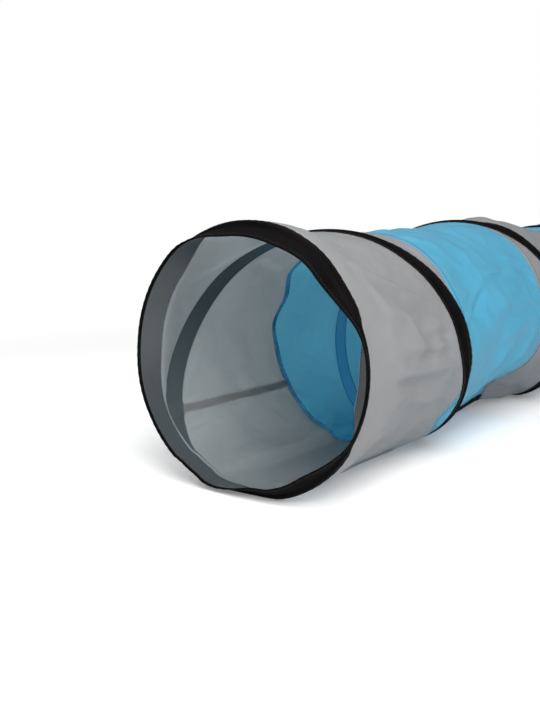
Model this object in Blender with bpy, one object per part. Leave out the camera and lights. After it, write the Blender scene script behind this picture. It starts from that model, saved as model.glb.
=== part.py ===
# Pop-up pet tunnel: a round tube of thin polyester panels that a spring wire holds open.
# The wire runs round the tube as one coil inside a black casing tape, and each mouth has a
# wire hoop in a taped hem. The tube lies along Y on the floor at Z zero, with the front mouth
# at low Y and the origin on the floor under its middle. It folds flat along Y.

import math

import bpy
import numpy as np

# Driving sizes, in metres
TUBE_RADIUS = 0.125
HOOP_SPACING = 0.880
END_PANEL = 0.205
PANEL_COUNT = 4
WIRE_DIAMETER = 0.0020
TAPE_WIDTH = 0.024
TAPE_THICKNESS = 0.0008
FABRIC_THICKNESS = 0.0008
CLEARANCE = 0.0003
HEM_TURN = 0.0025
HEM_MARGIN = 0.0015
FERRULE_LENGTH = 0.010
FERRULE_WALL = 0.0006
SEAM_WIDTH = 0.008
SEAM_THICKNESS = 0.0010
BINDING_WIDTH = 0.009
BINDING_THICKNESS = 0.0008
BINDING_GAP = 0.0005
RIBBON_WIDTH = 0.012
RIBBON_THICKNESS = 0.0006
RIBBON_LENGTH = 0.120
MOUTH_BLEND = 0.070
WAIST_DRAW = 0.0045
WAIST_LENGTH = 0.310

# Angles, in degrees round the tube: zero at +X, ninety at the top
SIDES = 36
STEP = 360 / SIDES
COIL_START = 230
COIL_OVERRUN = 15
COIL_WHOLE_TURNS = 2
LEAN_INWARD = 30
LEAN_OUTWARD = 46
FOOT_HALF_ANGLE = 15
BOTTOM = 270
SHARP_EDGE = 40
WIRE_SIDES = 6

# Shares of the sizes that they follow
SAG_SHARE = 0.024
HOOP_PLACE_SHARE = 0.30
ARCH_FLAT_SHARE = 1.6
ARCH_END_SHARE = 5
NEAR_SHARE = 0.8
LET_DOWN_SHARE = 1.5
LEAD_IN_SHARE = 0.25
COIL_STATION_SHARES = (-0.5, -0.21, -0.067, 0.067, 0.21, 0.5)
PANEL_STATION_COUNT = 7
FRONT_LEAN_SHARES = ((0, -1), (0.14, 1), (0.28, 1), (0.41, -0.7), (0.48, -0.7), (0.59, 0),
                     (0.792, 0), (0.84, 0.9), (0.86, 0.9))
REAR_LEAN_SHARES = ((0, 0), (0.04, 0), (0.14, 1), (0.26, 1), (0.38, -0.6), (0.47, 0), (0.52, 0),
                    (0.59, 0.6), (0.68, 0), (0.93, 0))
BINDING_RIDGES = (20, 29, 23, 32)
RIBBON_ANGLES = (0, 180)
RIBBON_SEWN_SHARE = 0.12
RIBBON_STATION_SHARES = (0, 0.12, 0.3, 0.5, 0.75, 1)
RIBBON_FLARE_SHARES = (0, 0, 0.004, 0.008, 0.010, 0.006)

# Sizes worked out from those above
WIRE_RADIUS = WIRE_DIAMETER / 2
CHANNEL_HALF = WIRE_RADIUS + CLEARANCE
ARCH_FLAT = WIRE_RADIUS * ARCH_FLAT_SHARE
ARCH_END = WIRE_RADIUS * ARCH_END_SHARE
WIRE_SEAT = TUBE_RADIUS - TAPE_THICKNESS - CHANNEL_HALF
FABRIC_RADIUS = WIRE_SEAT - CHANNEL_HALF
FOOT_COSINE = math.cos(math.radians(FOOT_HALF_ANGLE))
AXIS_HEIGHT = TUBE_RADIUS * FOOT_COSINE
FERRULE_HALF = WIRE_RADIUS + CLEARANCE + FERRULE_WALL
FERRULE_RISE = FERRULE_HALF + CLEARANCE - CHANNEL_HALF
BESIDE = WIRE_DIAMETER + CLEARANCE * 2
COIL_EASE = BESIDE * 2
COIL_SWEEP = 2 * COIL_START - 180 + 360 * COIL_WHOLE_TURNS
COIL_RUN = HOOP_SPACING - 2 * BESIDE
MIDDLE_PANEL = (HOOP_SPACING - 2 * END_PANEL) / (PANEL_COUNT - 2)
FRONT = -HOOP_SPACING / 2
CHORD = 2 * TUBE_RADIUS * math.sin(math.radians(STEP / 2))
PANEL_CELL = MIDDLE_PANEL / PANEL_STATION_COUNT
SEAMS = [0] + [END_PANEL + k * MIDDLE_PANEL for k in range(PANEL_COUNT - 1)] + [HOOP_SPACING]

# Colours, roughness and metallic of each finish
FINISHES = {
    "grey_polyester": ((0.36, 0.36, 0.37, 1), 0.5, 0),
    "blue_polyester": ((0.11, 0.42, 0.62, 1), 0.5, 0),
    "black_tape": ((0.018, 0.016, 0.016, 1), 0.6, 0),
    "spring_steel": ((0.45, 0.45, 0.47, 1), 0.3, 1),
    "crimp_aluminium": ((0.62, 0.62, 0.64, 1), 0.4, 1),
    "seam_grey": ((0.16, 0.17, 0.18, 1), 0.7, 0),
}


def clear_scene():
    for thing in list(bpy.data.objects):
        bpy.data.objects.remove(thing)


def finish(name):
    """One Principled material for each finish, made on first use."""
    if name in bpy.data.materials:
        return bpy.data.materials[name]
    colour, roughness, metallic = FINISHES[name]
    material = bpy.data.materials.new(name)
    material.use_nodes = True
    shader = material.node_tree.nodes["Principled BSDF"]
    shader.inputs["Base Color"].default_value = colour
    shader.inputs["Roughness"].default_value = roughness
    shader.inputs["Metallic"].default_value = metallic
    material.diffuse_color = colour
    return material


def carrier(name, depth):
    """An empty on the tube's axis that a moving group hangs on, at this depth from the front."""
    empty = bpy.data.objects.new(name, None)
    empty.location = (0, FRONT + depth, AXIS_HEIGHT)
    bpy.context.collection.objects.link(empty)
    return empty


# Geometry of the tube: a point is a ridge number, a radius from the axis and a depth from the
# front hoop. Every layer uses the same ridges, so its flats stay parallel to its neighbour's.

def ridge_angle(ridge):
    return (ridge + 0.5) * STEP


def waist(depth):
    """How far the tube is narrowed at this depth: its first and last turn of wire are smaller."""
    inward = min(depth, HOOP_SPACING - depth) / WAIST_LENGTH
    return WAIST_DRAW * math.sin(math.pi * inward) ** 2 if 0 < inward < 1 else 0


def place(ridge, radius, depth):
    """World point of a place on the tube; between two ridges it is on their straight chord.
    The tube rests on the floor all along, and is drawn in there to a flat foot."""
    low = math.floor(ridge)
    share = ridge - low
    outside = TUBE_RADIUS - waist(depth)
    height = outside * FOOT_COSINE
    ends = []
    for near in (low, low + 1):
        angle = math.radians(ridge_angle(near))
        down = max(FOOT_COSINE, -math.sin(angle))
        reach = radius - waist(depth) - (outside - height / down)
        ends.append(np.array((reach * math.cos(angle), FRONT + depth,
                              height + reach * math.sin(angle))))
    return ends[0] * (1 - share) + ends[1] * share


def coil_depth(angle):
    """Depth of the coil wire at this unwound angle: it leaves one hoop, climbs at an even
    pitch and joins the other."""
    run = (COIL_START - angle) / COIL_SWEEP * COIL_RUN

    def eased(length):
        return (length + math.hypot(length, COIL_EASE)) / 2

    return BESIDE + eased(run) - eased(run - COIL_RUN)


def wire_passes(ridge):
    """Depths at which a wire crosses this ridge, the two hoops among them."""
    passes = [0, HOOP_SPACING]
    angle = ridge_angle(ridge % SIDES)
    for turn in range(-1, COIL_WHOLE_TURNS + 2):
        unwound = angle - 360 * turn
        if -COIL_OVERRUN <= COIL_START - unwound <= COIL_SWEEP + COIL_OVERRUN:
            passes.append(coil_depth(unwound))
    return sorted(passes)


def ramp(value):
    """Zero below zero, one above one, and a smooth rise between."""
    value = min(1, max(0, value))
    return value * value * (3 - 2 * value)


def lean_share(ridge, shares):
    """Lean of the mouth hem at this ridge, from a closed table of turn share and lean share."""
    turn = ridge_angle(ridge % SIDES) / 360
    for k, (low, value) in enumerate(shares):
        high, following = shares[(k + 1) % len(shares)]
        if k + 1 == len(shares):
            high = 1
        if low <= turn <= high:
            return value + (following - value) * ramp((turn - low) / (high - low))
    return shares[0][1]


def ferrule_ridges(rear):
    """The two ridges between which a mouth's crimp sleeve lies."""
    angle = 180 - COIL_START if rear else COIL_START
    first = round((angle - COIL_OVERRUN * (1 if rear else -1)) % 360 / STEP - 0.5)
    return (first, first + 1) if rear else (first - 1, first)


def wire_seat(ridge, depth):
    """Radius of a wire's centre line, drawn in where a crimp sleeve takes up more room."""
    rear = depth > HOOP_SPACING / 2
    beside = abs(depth - HOOP_SPACING * rear) < TAPE_WIDTH
    if beside and ridge % SIDES in ferrule_ridges(rear):
        return WIRE_SEAT - FERRULE_RISE
    return WIRE_SEAT


def on_foot(ridge):
    return abs(ridge_angle(ridge % SIDES) - BOTTOM) <= FOOT_HALF_ANGLE + STEP / 10


def fabric_radius(ridge, depth):
    """Outer radius of the fabric: seated on the wire, drawn in between two passes of it, and
    let down on to the floor between them under the tube."""
    passes = wire_passes(ridge)
    half = TAPE_WIDTH / 2
    drawn = 0
    for near, far in zip(passes, passes[1:]):
        low, high = near + half, far - half
        if low < depth < high:
            along = (depth - low) / (high - low)
            drawn = 4 * along * (1 - along) * SAG_SHARE * (high - low)
    if not on_foot(ridge):
        return FABRIC_RADIUS - drawn
    nearest = min(abs(depth - crossing) for crossing in passes)
    let_down = ramp((nearest - half) / PANEL_CELL - LET_DOWN_SHARE)
    return FABRIC_RADIUS + (TUBE_RADIUS - FABRIC_RADIUS) * let_down


# Mouth hems: the fabric, the hoop wire and the tape over it turn together about the wire

class Hem:
    """Section of one mouth's hem at a ridge, in its own frame: along is measured from the wire
    towards the tube, out is measured from the wire away from the axis."""

    def __init__(self, ridge, rear):
        lean = lean_share(ridge, REAR_LEAN_SHARES if rear else FRONT_LEAN_SHARES)
        turn = math.radians(lean * (LEAN_INWARD if lean > 0 else LEAN_OUTWARD))
        self.cos, self.sin = math.cos(turn), math.sin(turn)
        self.rear = rear
        self.ridge = ridge
        self.seat = wire_seat(ridge, HOOP_SPACING * rear)
        self.lip = -TAPE_WIDTH * (0.5 + HOOP_PLACE_SHARE * lean)
        self.base = TAPE_WIDTH * (0.5 - HOOP_PLACE_SHARE * lean)
        self.half, self.flat = CHANNEL_HALF, ARCH_FLAT
        if ridge % SIDES in ferrule_ridges(rear):
            self.half += FERRULE_RISE
            self.flat = self.half + CLEARANCE

    def point(self, along, out):
        """Radius and depth of a place in the hem's frame."""
        depth = along * self.cos - out * self.sin
        radius = self.seat + along * self.sin + out * self.cos
        return radius, HOOP_SPACING - depth if self.rear else depth

    def wires(self):
        """Stretches across the hem that a wire covers near this ridge: the hoop's place, and
        the coil's from most of the way to the ridge before to as near the one after."""
        stretches = [(0, 0)]
        for turn in range(-1, COIL_WHOLE_TURNS + 2):
            angle = ridge_angle(self.ridge % SIDES) - 360 * turn
            sides = (angle - STEP * NEAR_SHARE, angle + STEP * NEAR_SHARE)
            depths = sorted(coil_depth(side) for side in sides)
            if self.rear:
                depths = [HOOP_SPACING - depth for depth in depths[::-1]]
            run = COIL_START - angle
            if -COIL_OVERRUN <= run <= COIL_SWEEP + COIL_OVERRUN and depths[0] < TAPE_WIDTH:
                stretches.append(tuple(depths))
        return stretches

    def lift(self, along):
        """Share of the full height at which the tape passes here, one over a wire."""
        nearest = min(max(0, low - along, along - high) for low, high in self.wires())
        return 1 - min(1, max(0, (nearest - self.flat) / (ARCH_END - ARCH_FLAT)))

    def stations(self):
        """Places across the hem at which every layer has a point, from its lip to its base."""
        turned = self.lip + HEM_TURN
        arch_foot = ARCH_END - ARCH_FLAT
        front_foot = -self.flat - min(arch_foot, (-self.flat - turned) / 2)
        rear_foot = self.flat + min(arch_foot, (self.base - self.flat) / 2)
        return [self.lip, turned, front_foot, -self.flat, 0, self.flat, rear_foot,
                (rear_foot + self.base) / 2, self.base]


def skin(name, rings, closed, finish_name, parent):
    """An object from section rings that are joined one to the next, closed round or capped."""
    rings = np.array(rings) - np.array(parent.location)
    count, size = rings.shape[:2]
    vertices = rings.reshape(-1, 3).tolist()
    faces = []
    for k in range(count if closed else count - 1):
        here, there = k * size, (k + 1) % count * size
        for m in range(size):
            n = (m + 1) % size
            faces.append((here + m, there + m, there + n))
            faces.append((here + m, there + n, here + n))
    if not closed:
        last = (count - 1) * size
        faces.append(tuple(range(size)))
        faces.append(tuple(last + m for m in reversed(range(size))))
    mesh = bpy.data.meshes.new(name)
    mesh.from_pydata(vertices, [], faces)
    mesh.validate()
    if sum(mesh_volume_terms(mesh)) < 0:
        mesh.flip_normals()
    mesh.shade_smooth()
    mesh.set_sharp_from_angle(angle=math.radians(SHARP_EDGE))
    mesh.materials.append(finish(finish_name))
    thing = bpy.data.objects.new(name, mesh)
    thing.parent = parent
    bpy.context.collection.objects.link(thing)
    return thing


def mesh_volume_terms(mesh):
    """Signed volume of the fan of each face, seen from the object's origin."""
    points = [v.co for v in mesh.vertices]
    for polygon in mesh.polygons:
        first, *rest = polygon.vertices
        for left, right in zip(rest, rest[1:]):
            yield points[first].dot(points[left].cross(points[right])) / 6


def inner_line(line, distance):
    """A polyline set in from another by this distance, mitred at its corners."""
    line = np.array(line)
    runs = np.diff(line, axis=0)
    normals = np.stack([-runs[:, 1], runs[:, 0]], axis=1)
    normals /= np.linalg.norm(normals, axis=1)[:, None]
    corners = np.vstack([normals[:1], normals[:-1] + normals[1:], normals[-1:]])
    corners /= np.linalg.norm(corners, axis=1)[:, None]
    spread = np.hstack([1, np.sum(corners[1:-1] * normals[:-1], axis=1), 1])
    return line + corners * (distance / spread)[:, None]


def panel_line(ridge, index):
    """Radius and depth of a panel's outer face at a ridge, from its front end to its rear."""
    low, high = SEAMS[index], SEAMS[index + 1]
    start = low + CLEARANCE / 2 if index else low
    stop = high - CLEARANCE / 2 if index + 1 < PANEL_COUNT else high
    cell = (high - low) / PANEL_STATION_COUNT
    depths = [start] + [low + cell * k for k in range(1, PANEL_STATION_COUNT)] + [stop]
    if index:
        depths.insert(1, low + SEAM_WIDTH + CLEARANCE * 2)
    line = [[fabric_radius(ridge, depth), depth] for depth in depths]
    if ridge % SIDES in (BINDING_RIDGES[index], BINDING_RIDGES[index] + 1):
        for point in line:
            point[0] -= BINDING_THICKNESS + BINDING_GAP
    if index == 0:
        line = hemmed(line, Hem(ridge, False), 1)
    if index == PANEL_COUNT - 1:
        line = hemmed(line[::-1], Hem(ridge, True), -1)[::-1]
    return line


def hemmed(line, hem, way):
    """Puts a hem at the start of a panel's line, and leads the panel into it."""
    places = hem.stations() + [hem.base + HEM_MARGIN]
    base = hem.point(places[-1], -hem.half)
    kept = [point for point in line if (point[1] - base[1]) * way > TAPE_WIDTH * LEAD_IN_SHARE]
    passes = wire_passes(hem.ridge)
    room = abs((passes[1] if way > 0 else passes[-2]) - base[1]) - TAPE_WIDTH / 2
    reach = min(MOUTH_BLEND, max(room, TAPE_WIDTH))
    led = []
    for radius, depth in kept:
        fade = 1 - ramp(abs(depth - base[1]) / reach)
        led.append([radius + min(0, base[0] - radius) * fade, depth])
    return [list(hem.point(along, -hem.half)) for along in places] + led


def make_panel(index, parent):
    rings = []
    for ridge in range(SIDES):
        outer = panel_line(ridge, index)
        inner = inner_line([point[::-1] for point in outer], -FABRIC_THICKNESS)
        section = outer + [[radius, depth] for depth, radius in inner[::-1]]
        rings.append([place(ridge, radius, depth) for radius, depth in section])
    colour = ("grey_polyester", "blue_polyester")[index % 2]
    skin("panel_%d_%s" % (index + 1, colour.split("_")[0]), rings, True, colour, parent)


def make_mouth_tape(name, rear, parent):
    """The black tape over the hoop wire, turned round the free edge of the fabric."""
    rings = []
    for ridge in range(SIDES):
        hem = Hem(ridge, rear)
        floor = -hem.half + CLEARANCE
        under = -hem.half - FABRIC_THICKNESS - CLEARANCE
        edge = hem.lip - CLEARANCE
        stations = hem.stations()
        heights = [floor + (hem.half - floor) * hem.lift(along) for along in stations]
        inner = list(zip([edge] + stations[1:], heights))
        outer = [(along, height + TAPE_THICKNESS) for along, height in inner]
        outer[0] = (edge - TAPE_THICKNESS, outer[0][1])
        turned = [(edge - TAPE_THICKNESS, under - TAPE_THICKNESS),
                  (stations[1], under - TAPE_THICKNESS), (stations[1], under), (edge, under)]
        section = outer[::-1] + turned + inner
        ring = [place(ridge, *hem.point(*point)) for point in section]
        rings.append(ring[::-1] if rear else ring)
    skin(name, rings, True, "black_tape", parent)


def wire_ring(ridge, depth):
    """Round section of a wire that passes this ridge at this depth."""
    corners = [math.radians(360 / WIRE_SIDES * k) for k in range(WIRE_SIDES)]
    seat = wire_seat(ridge, depth)
    return [place(ridge, seat + WIRE_RADIUS * math.sin(corner),
                  depth + WIRE_RADIUS * math.cos(corner)) for corner in corners]


def make_hoop_wire(name, rear, parent):
    depth = HOOP_SPACING if rear else 0
    rings = [wire_ring(ridge, depth) for ridge in range(SIDES)]
    skin(name, rings, True, "spring_steel", parent)


def coil_ridges():
    """Ridge numbers that the coil passes, falling from its front end to its rear end."""
    first = round((COIL_START + COIL_OVERRUN) / STEP - 0.5)
    last = round((COIL_START - COIL_SWEEP - COIL_OVERRUN) / STEP - 0.5)
    return range(first, last - 1, -1)


def make_coil_wire(parent):
    rings = [wire_ring(ridge, coil_depth(ridge_angle(ridge))) for ridge in coil_ridges()]
    skin("coil_spring_wire", rings, False, "spring_steel", parent)


def make_coil_tape(parent):
    """The casing tape along the coil: flat on the fabric at both edges, arched over the wire,
    and cut off where it meets the tape of each mouth."""
    rings = []
    pitch_slope = COIL_RUN / (2 * math.pi * TUBE_RADIUS * COIL_SWEEP / 360)
    width = TAPE_WIDTH * math.hypot(1, pitch_slope)
    for ridge in coil_ridges():
        depth = coil_depth(ridge_angle(ridge))
        front, rear = Hem(ridge, False), Hem(ridge, True)
        low_room = depth - front.point(front.base, 0)[1] - CLEARANCE * 2
        high_room = rear.point(rear.base, 0)[1] - depth - CLEARANCE * 2
        if min(low_room, high_room) < CHANNEL_HALF * 2:
            continue
        inner, outer = [], []
        for share in COIL_STATION_SHARES:
            along = share * min(width, 2 * (low_room if share < 0 else high_room))
            near = max(0, abs(along) - ARCH_FLAT) / (ARCH_END - ARCH_FLAT)
            height = WIRE_SEAT - WIRE_RADIUS + (WIRE_RADIUS + CHANNEL_HALF) * (1 - min(1, near))
            inner.append((height, depth + along))
            outer.append((height + TAPE_THICKNESS, depth + along))
        rings.append([place(ridge, *point) for point in outer + inner[::-1]])
    skin("coil_casing_tape", rings, False, "black_tape", parent)


def make_ferrule(name, rear, parent):
    """A crimp sleeve round the hoop wire and the coil's end, with its slit towards the axis."""
    low, high = ferrule_ridges(rear)
    half = FERRULE_LENGTH / CHORD / 2
    wall = CLEARANCE + WIRE_RADIUS
    rings = []
    seat = WIRE_SEAT - FERRULE_RISE
    for share in (0.5 - half, 0.5 + half):
        gaps = []
        for ridge in (low, high):
            beside = wire_passes(ridge)
            gaps.append(HOOP_SPACING - beside[-2] if rear else beside[1])
        reach = gaps[0] * (1 - share) + gaps[1] * share
        slit = reach / 2
        inner = [(slit + CLEARANCE, -wall), (reach + wall, -wall), (reach + wall, wall),
                 (-wall, wall), (-wall, -wall), (slit - CLEARANCE, -wall)]
        body = wall + FERRULE_WALL
        outer = [(slit - CLEARANCE, -body), (-body, -body), (-body, body), (reach + body, body),
                 (reach + body, -body), (slit + CLEARANCE, -body)]
        section = []
        for along, out in inner + outer:
            depth = HOOP_SPACING - along if rear else along
            section.append(place(low + share, seat + out, depth))
        rings.append(section)
    skin(name, rings, False, "crimp_aluminium", parent)


def make_panel_seam(index, parent):
    """The overlocked edges of two panels, pressed flat inside the rear one."""
    rings = []
    for ridge in range(SIDES):
        line = np.array(panel_line(ridge, index))[:2]
        (near, low), (far, high) = line
        section = []
        for depth in (low + CLEARANCE, low + SEAM_WIDTH):
            radius = near + (far - near) * (depth - low) / (high - low)
            section.append((radius - FABRIC_THICKNESS - CLEARANCE, depth))
        deeper = [(radius - SEAM_THICKNESS, depth) for radius, depth in section[::-1]]
        rings.append([place(ridge, *point) for point in deeper[::-1] + section[::-1]])
    skin("panel_seam_%d" % index, rings, True, "seam_grey", parent)


def make_binding(index, parent):
    """The bound seam that closes a panel into a tube, along a flat between two ridges."""
    low = BINDING_RIDGES[index]
    half = BINDING_WIDTH / CHORD / 2
    lines = [panel_line(ridge, index) for ridge in (low, low + 1)]
    rings = []
    for (near, depth), (far, _) in zip(*lines):
        if not TAPE_WIDTH < depth < HOOP_SPACING - TAPE_WIDTH:
            continue
        section = []
        for rise in (BINDING_GAP, BINDING_GAP + BINDING_THICKNESS):
            span = (0.5 - half, 0.5 + half) if rise == BINDING_GAP else (0.5 + half, 0.5 - half)
            for share in span:
                ends = (place(low, near + rise, depth), place(low + 1, far + rise, depth))
                section.append(ends[0] * (1 - share) + ends[1] * share)
        rings.append(section)
    skin("closing_seam_%d" % (index + 1), rings, False, "black_tape", parent)


def make_ribbon(name, angle, layer, parent):
    """A tie ribbon sewn to the rear mouth at the side of the tube, which hangs down."""
    way = math.cos(math.radians(angle))
    inner_face = TUBE_RADIUS + CLEARANCE + layer * (RIBBON_THICKNESS + CLEARANCE)
    top = AXIS_HEIGHT + RIBBON_LENGTH * RIBBON_SEWN_SHARE
    depth = HOOP_SPACING - RIBBON_WIDTH / 2
    rings = []
    for down, flare in zip(RIBBON_STATION_SHARES, RIBBON_FLARE_SHARES):
        height = top - down * RIBBON_LENGTH
        face = inner_face + flare * RIBBON_LENGTH * (1 + layer)
        section = [(face, depth), (face + RIBBON_THICKNESS, depth),
                   (face + RIBBON_THICKNESS, depth + RIBBON_WIDTH), (face, depth + RIBBON_WIDTH)]
        rings.append([(x * way, FRONT + y, height) for x, y in section])
    skin(name, rings, False, "black_tape", parent)


def build():
    clear_scene()
    front = carrier("front_mouth", 0)
    rear = carrier("rear_mouth", HOOP_SPACING)
    rings = [front] + [carrier("panel_%d_ring" % (k + 1), SEAMS[k]) for k in range(1, PANEL_COUNT)]
    for index, parent in enumerate(rings):
        make_panel(index, parent)
        make_binding(index, parent)
        if index:
            make_panel_seam(index, parent)
    for name, at_rear, parent in (("front", False, front), ("rear", True, rear)):
        make_mouth_tape(name + "_mouth_tape", at_rear, parent)
        make_hoop_wire(name + "_hoop_wire", at_rear, parent)
        make_ferrule(name + "_wire_ferrule", at_rear, parent)
    make_coil_wire(front)
    make_coil_tape(front)
    for angle, side in zip(RIBBON_ANGLES, ("right", "left")):
        for layer, tail in enumerate(("inner", "outer")):
            make_ribbon("tie_ribbon_%s_%s" % (side, tail), angle, layer, rear)


build()
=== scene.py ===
"""Pop-up pet tunnel: grey and blue polyester panels on a spring wire in a black casing tape."""
import math

import bpy
import numpy as np
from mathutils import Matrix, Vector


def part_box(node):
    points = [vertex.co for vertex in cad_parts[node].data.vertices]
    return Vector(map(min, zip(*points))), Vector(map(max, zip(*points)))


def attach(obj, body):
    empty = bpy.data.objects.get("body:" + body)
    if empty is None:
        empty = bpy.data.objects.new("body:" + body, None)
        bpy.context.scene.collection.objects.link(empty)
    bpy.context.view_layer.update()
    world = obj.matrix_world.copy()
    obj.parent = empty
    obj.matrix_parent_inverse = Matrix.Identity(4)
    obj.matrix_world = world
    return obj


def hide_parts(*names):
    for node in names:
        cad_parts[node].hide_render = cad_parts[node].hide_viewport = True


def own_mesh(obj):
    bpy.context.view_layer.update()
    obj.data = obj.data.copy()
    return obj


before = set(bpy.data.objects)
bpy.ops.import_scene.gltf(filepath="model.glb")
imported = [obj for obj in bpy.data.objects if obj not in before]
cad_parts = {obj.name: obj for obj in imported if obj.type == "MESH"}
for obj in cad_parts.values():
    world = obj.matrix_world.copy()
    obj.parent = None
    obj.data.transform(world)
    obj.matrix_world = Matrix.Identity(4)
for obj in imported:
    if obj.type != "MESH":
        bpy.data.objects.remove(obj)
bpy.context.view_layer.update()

bl_info = {
    "name": "Pop-up pet tunnel",
    "version": (1, 0, 0),
    "blender": (4, 5, 0),
    "location": "View3D > Sidebar > Tunnel",
    "description": "Dresses the packed tunnel frame with cloth, tapes, wires and stitching",
    "category": "Add Mesh",
}

# Sizes of the tunnel, in metres; the hoops' places are read from the frame
HOOP_FRONT = sum(corner.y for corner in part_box("front_hoop_wire")) / 2
HOOP_REAR = sum(corner.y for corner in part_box("rear_hoop_wire")) / 2
LENGTH = HOOP_REAR - HOOP_FRONT
MOUTHS = (("front", 0, False), ("rear", LENGTH, True))
TUBE_RADIUS = 0.125
WIRE_RADIUS = 0.001
WIRE_SEAT = 0.1229
CHANNEL = 0.00125
CLOTH_SEAT = WIRE_SEAT - CHANNEL
CLOTH_THICK = 0.00035
TAPE_WIDTH = 0.024
TAPE_HALF = TAPE_WIDTH / 2
TAPE_THICK = 0.0005
WAIST_DRAW = 0.0045
WAIST_LENGTH = 0.310
END_PANEL = 0.205
MIDDLE_PANEL = (LENGTH - 2 * END_PANEL) / 2
SEAMS = (0, END_PANEL, END_PANEL + MIDDLE_PANEL, END_PANEL + 2 * MIDDLE_PANEL, LENGTH)
LAST_PANEL = 3
PANEL_GAP = 0.0001

# The coil. Angles are degrees round the tube, zero at +X and ninety at the top; an unwound angle
# falls as the coil climbs, so that each turn is 360 less than the one before it. The climb is in
# metres a radian, and the stretch is the tape's reach along the tube over its own width
COIL_START = 230
COIL_SWEEP = 1000
COIL_OVERRUN = 15
COIL_MERGE = 20
COIL_TURNS = range(-1, 5)
COIL_EASE = 0.0052
COIL_BESIDE = 0.0026
COIL_RUN = LENGTH - 2 * COIL_BESIDE
COIL_CLIMB = COIL_RUN / math.radians(COIL_SWEEP)
COIL_STRETCH = math.hypot(1, COIL_CLIMB / TUBE_RADIUS)
HOOP_NEAR = 0.002
SPAN_LEAST = 1e-6
FAR = 1
# How far the coil's line lies off an even climb, in millimetres at unwound angles
COIL_DRIFT = ((-300, 0), (-230, 0), (-190, 3), (-150, 8), (-110, 5), (-60, -2), (-30, -2), (0, 1),
              (20, 5), (45, 8), (80, 14), (115, 15), (150, 12), (215, 0))

# The floor under the tube. A stretch by angle is how far it reaches from the bottom and the
# length of the smooth step at its end, in degrees
FOOT_COSINE = math.cos(math.radians(15))
FOOT_EASE = 0.0012
FLOOR_SINE_LEAST = 0.3
CLOTH_FOOT = (24, 8)
CREASE_FOOT = (24, 10)
HEM_FOOT = (18.72, 11.7)

# Bells round the tube: a height in metres, a middle and a spread in degrees. A height of one
# stands for a share
MOUTH_PRESS = (0.0040, 34, 16)
UNDER_PRESS = (0.0154, 302, 33)
BESIDE_PRESS = (0.0077, 307.5, 21)
TAPE_TILT = (0.0030, 339, 14)
TOP_SWELL = (0.0090, 84, 26)
LOW_SIDE = (1, 34, 22)
SECOND_SEAM_BACK = (0.026, 288, 20)
# Above this angle a press is measured from the coil a turn later
PRESS_CUT_ANGLE = 122

# Smooth steps: a start and a length, in metres
MOUTH_PRESS_FADE = (0.01, 0.09)
UNDER_PRESS_RISE = (0.0046, 0.205)
BESIDE_PRESS_RISE = (-0.035, 0.065)
PRESS_FADE = (0.45, 0.13)
SWELL_RISE = (0.452, 0.035)
SWELL_FADE = (0.52, 0.09)
LET_DOWN = (0.014, 0.034)
BINDING_DRIFT = (0.25, 0.10)

# Wanders: a height and a length of wave in metres, a number of sines and a seed. The puckers'
# and the hems' wanders shift a wave, so their height is in radians
SEAM_WANDER = (0.0035, 0.16, 6, 40)
SLOW_RELIEF = (0.0010, 0.085, 10, 11)
RIDGED_RELIEF = (0.0010, 0.070, 10, 23)
CRINKLE = (0.00016, 0.018, 14, 31)
PUCKER_WANDER = (2.5, 0.09, 5, 61)
HEM_WANDER = (1.5, 0.1, 5, 5)
JOIN_WANDER = (0.0004, 0.03, 6, 80)
WANDER_STRETCH = (0.7, 1.5)
WANDER_PHASE = 6.28

# The hems: lean of each mouth's hem at shares of a turn, from -1 outward to 1 inward
LEAN_INWARD = math.radians(30)
LEAN_OUTWARD = math.radians(46)
LEAN_SHARE = 0.30
FRONT_LEANS = ((0, -1), (0.13, 0.6), (0.20, 1), (0.26, 1), (0.39, -0.7), (0.48, -0.7), (0.59, 0),
               (0.70, 0), (0.785, 0.95), (0.848, 0.9), (0.963, -1), (1, -1))
REAR_LEANS = ((0, 0), (0.04, 0), (0.14, 1), (0.26, 1), (0.38, -0.6), (0.47, 0), (0.52, 0),
              (0.59, 0.6), (0.68, 0), (0.93, 0), (1, 0))
HEM_TURN = 0.0025
HEM_TURN_SHARES = (0, 0.5, 0.9, 1.0)
HEM_MARGIN = 0.0015
HEM_ROWS = 22
HEM_COVER_MOST = 0.01
HEM_LEVEL = (-0.002, 0.004)
HEM_ARCH = (0.0010, 0.0038)
HEM_MIDDLE = 0.0058
HEM_EDGE = 0.006
HEM_RIPPLE, HEM_WAVES = 0.00016, 95
HEM_FLOOR_GAP = 0.00005
HEM_TOP_GAP = 0.0001
HEM_UNDER_GAP = 0.00008
MOUTH_BLEND = 0.070
MOUTH_BLEND_LEAST = 0.010

# The crimp sleeves
FERRULE_ANGLES = (240, 300)
FERRULE_RISE = 0.0009
FERRULE_FADE = (4, 6)
FERRULE_LENGTH = 0.010
FERRULE_RADIUS = 0.0018
FERRULE_ROUND = 0.012
FERRULE_PINCH, PINCH_PLACE, PINCH_WIDTH = 0.10, 0.45, 0.12
COIL_END_TURNS = 3

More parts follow.
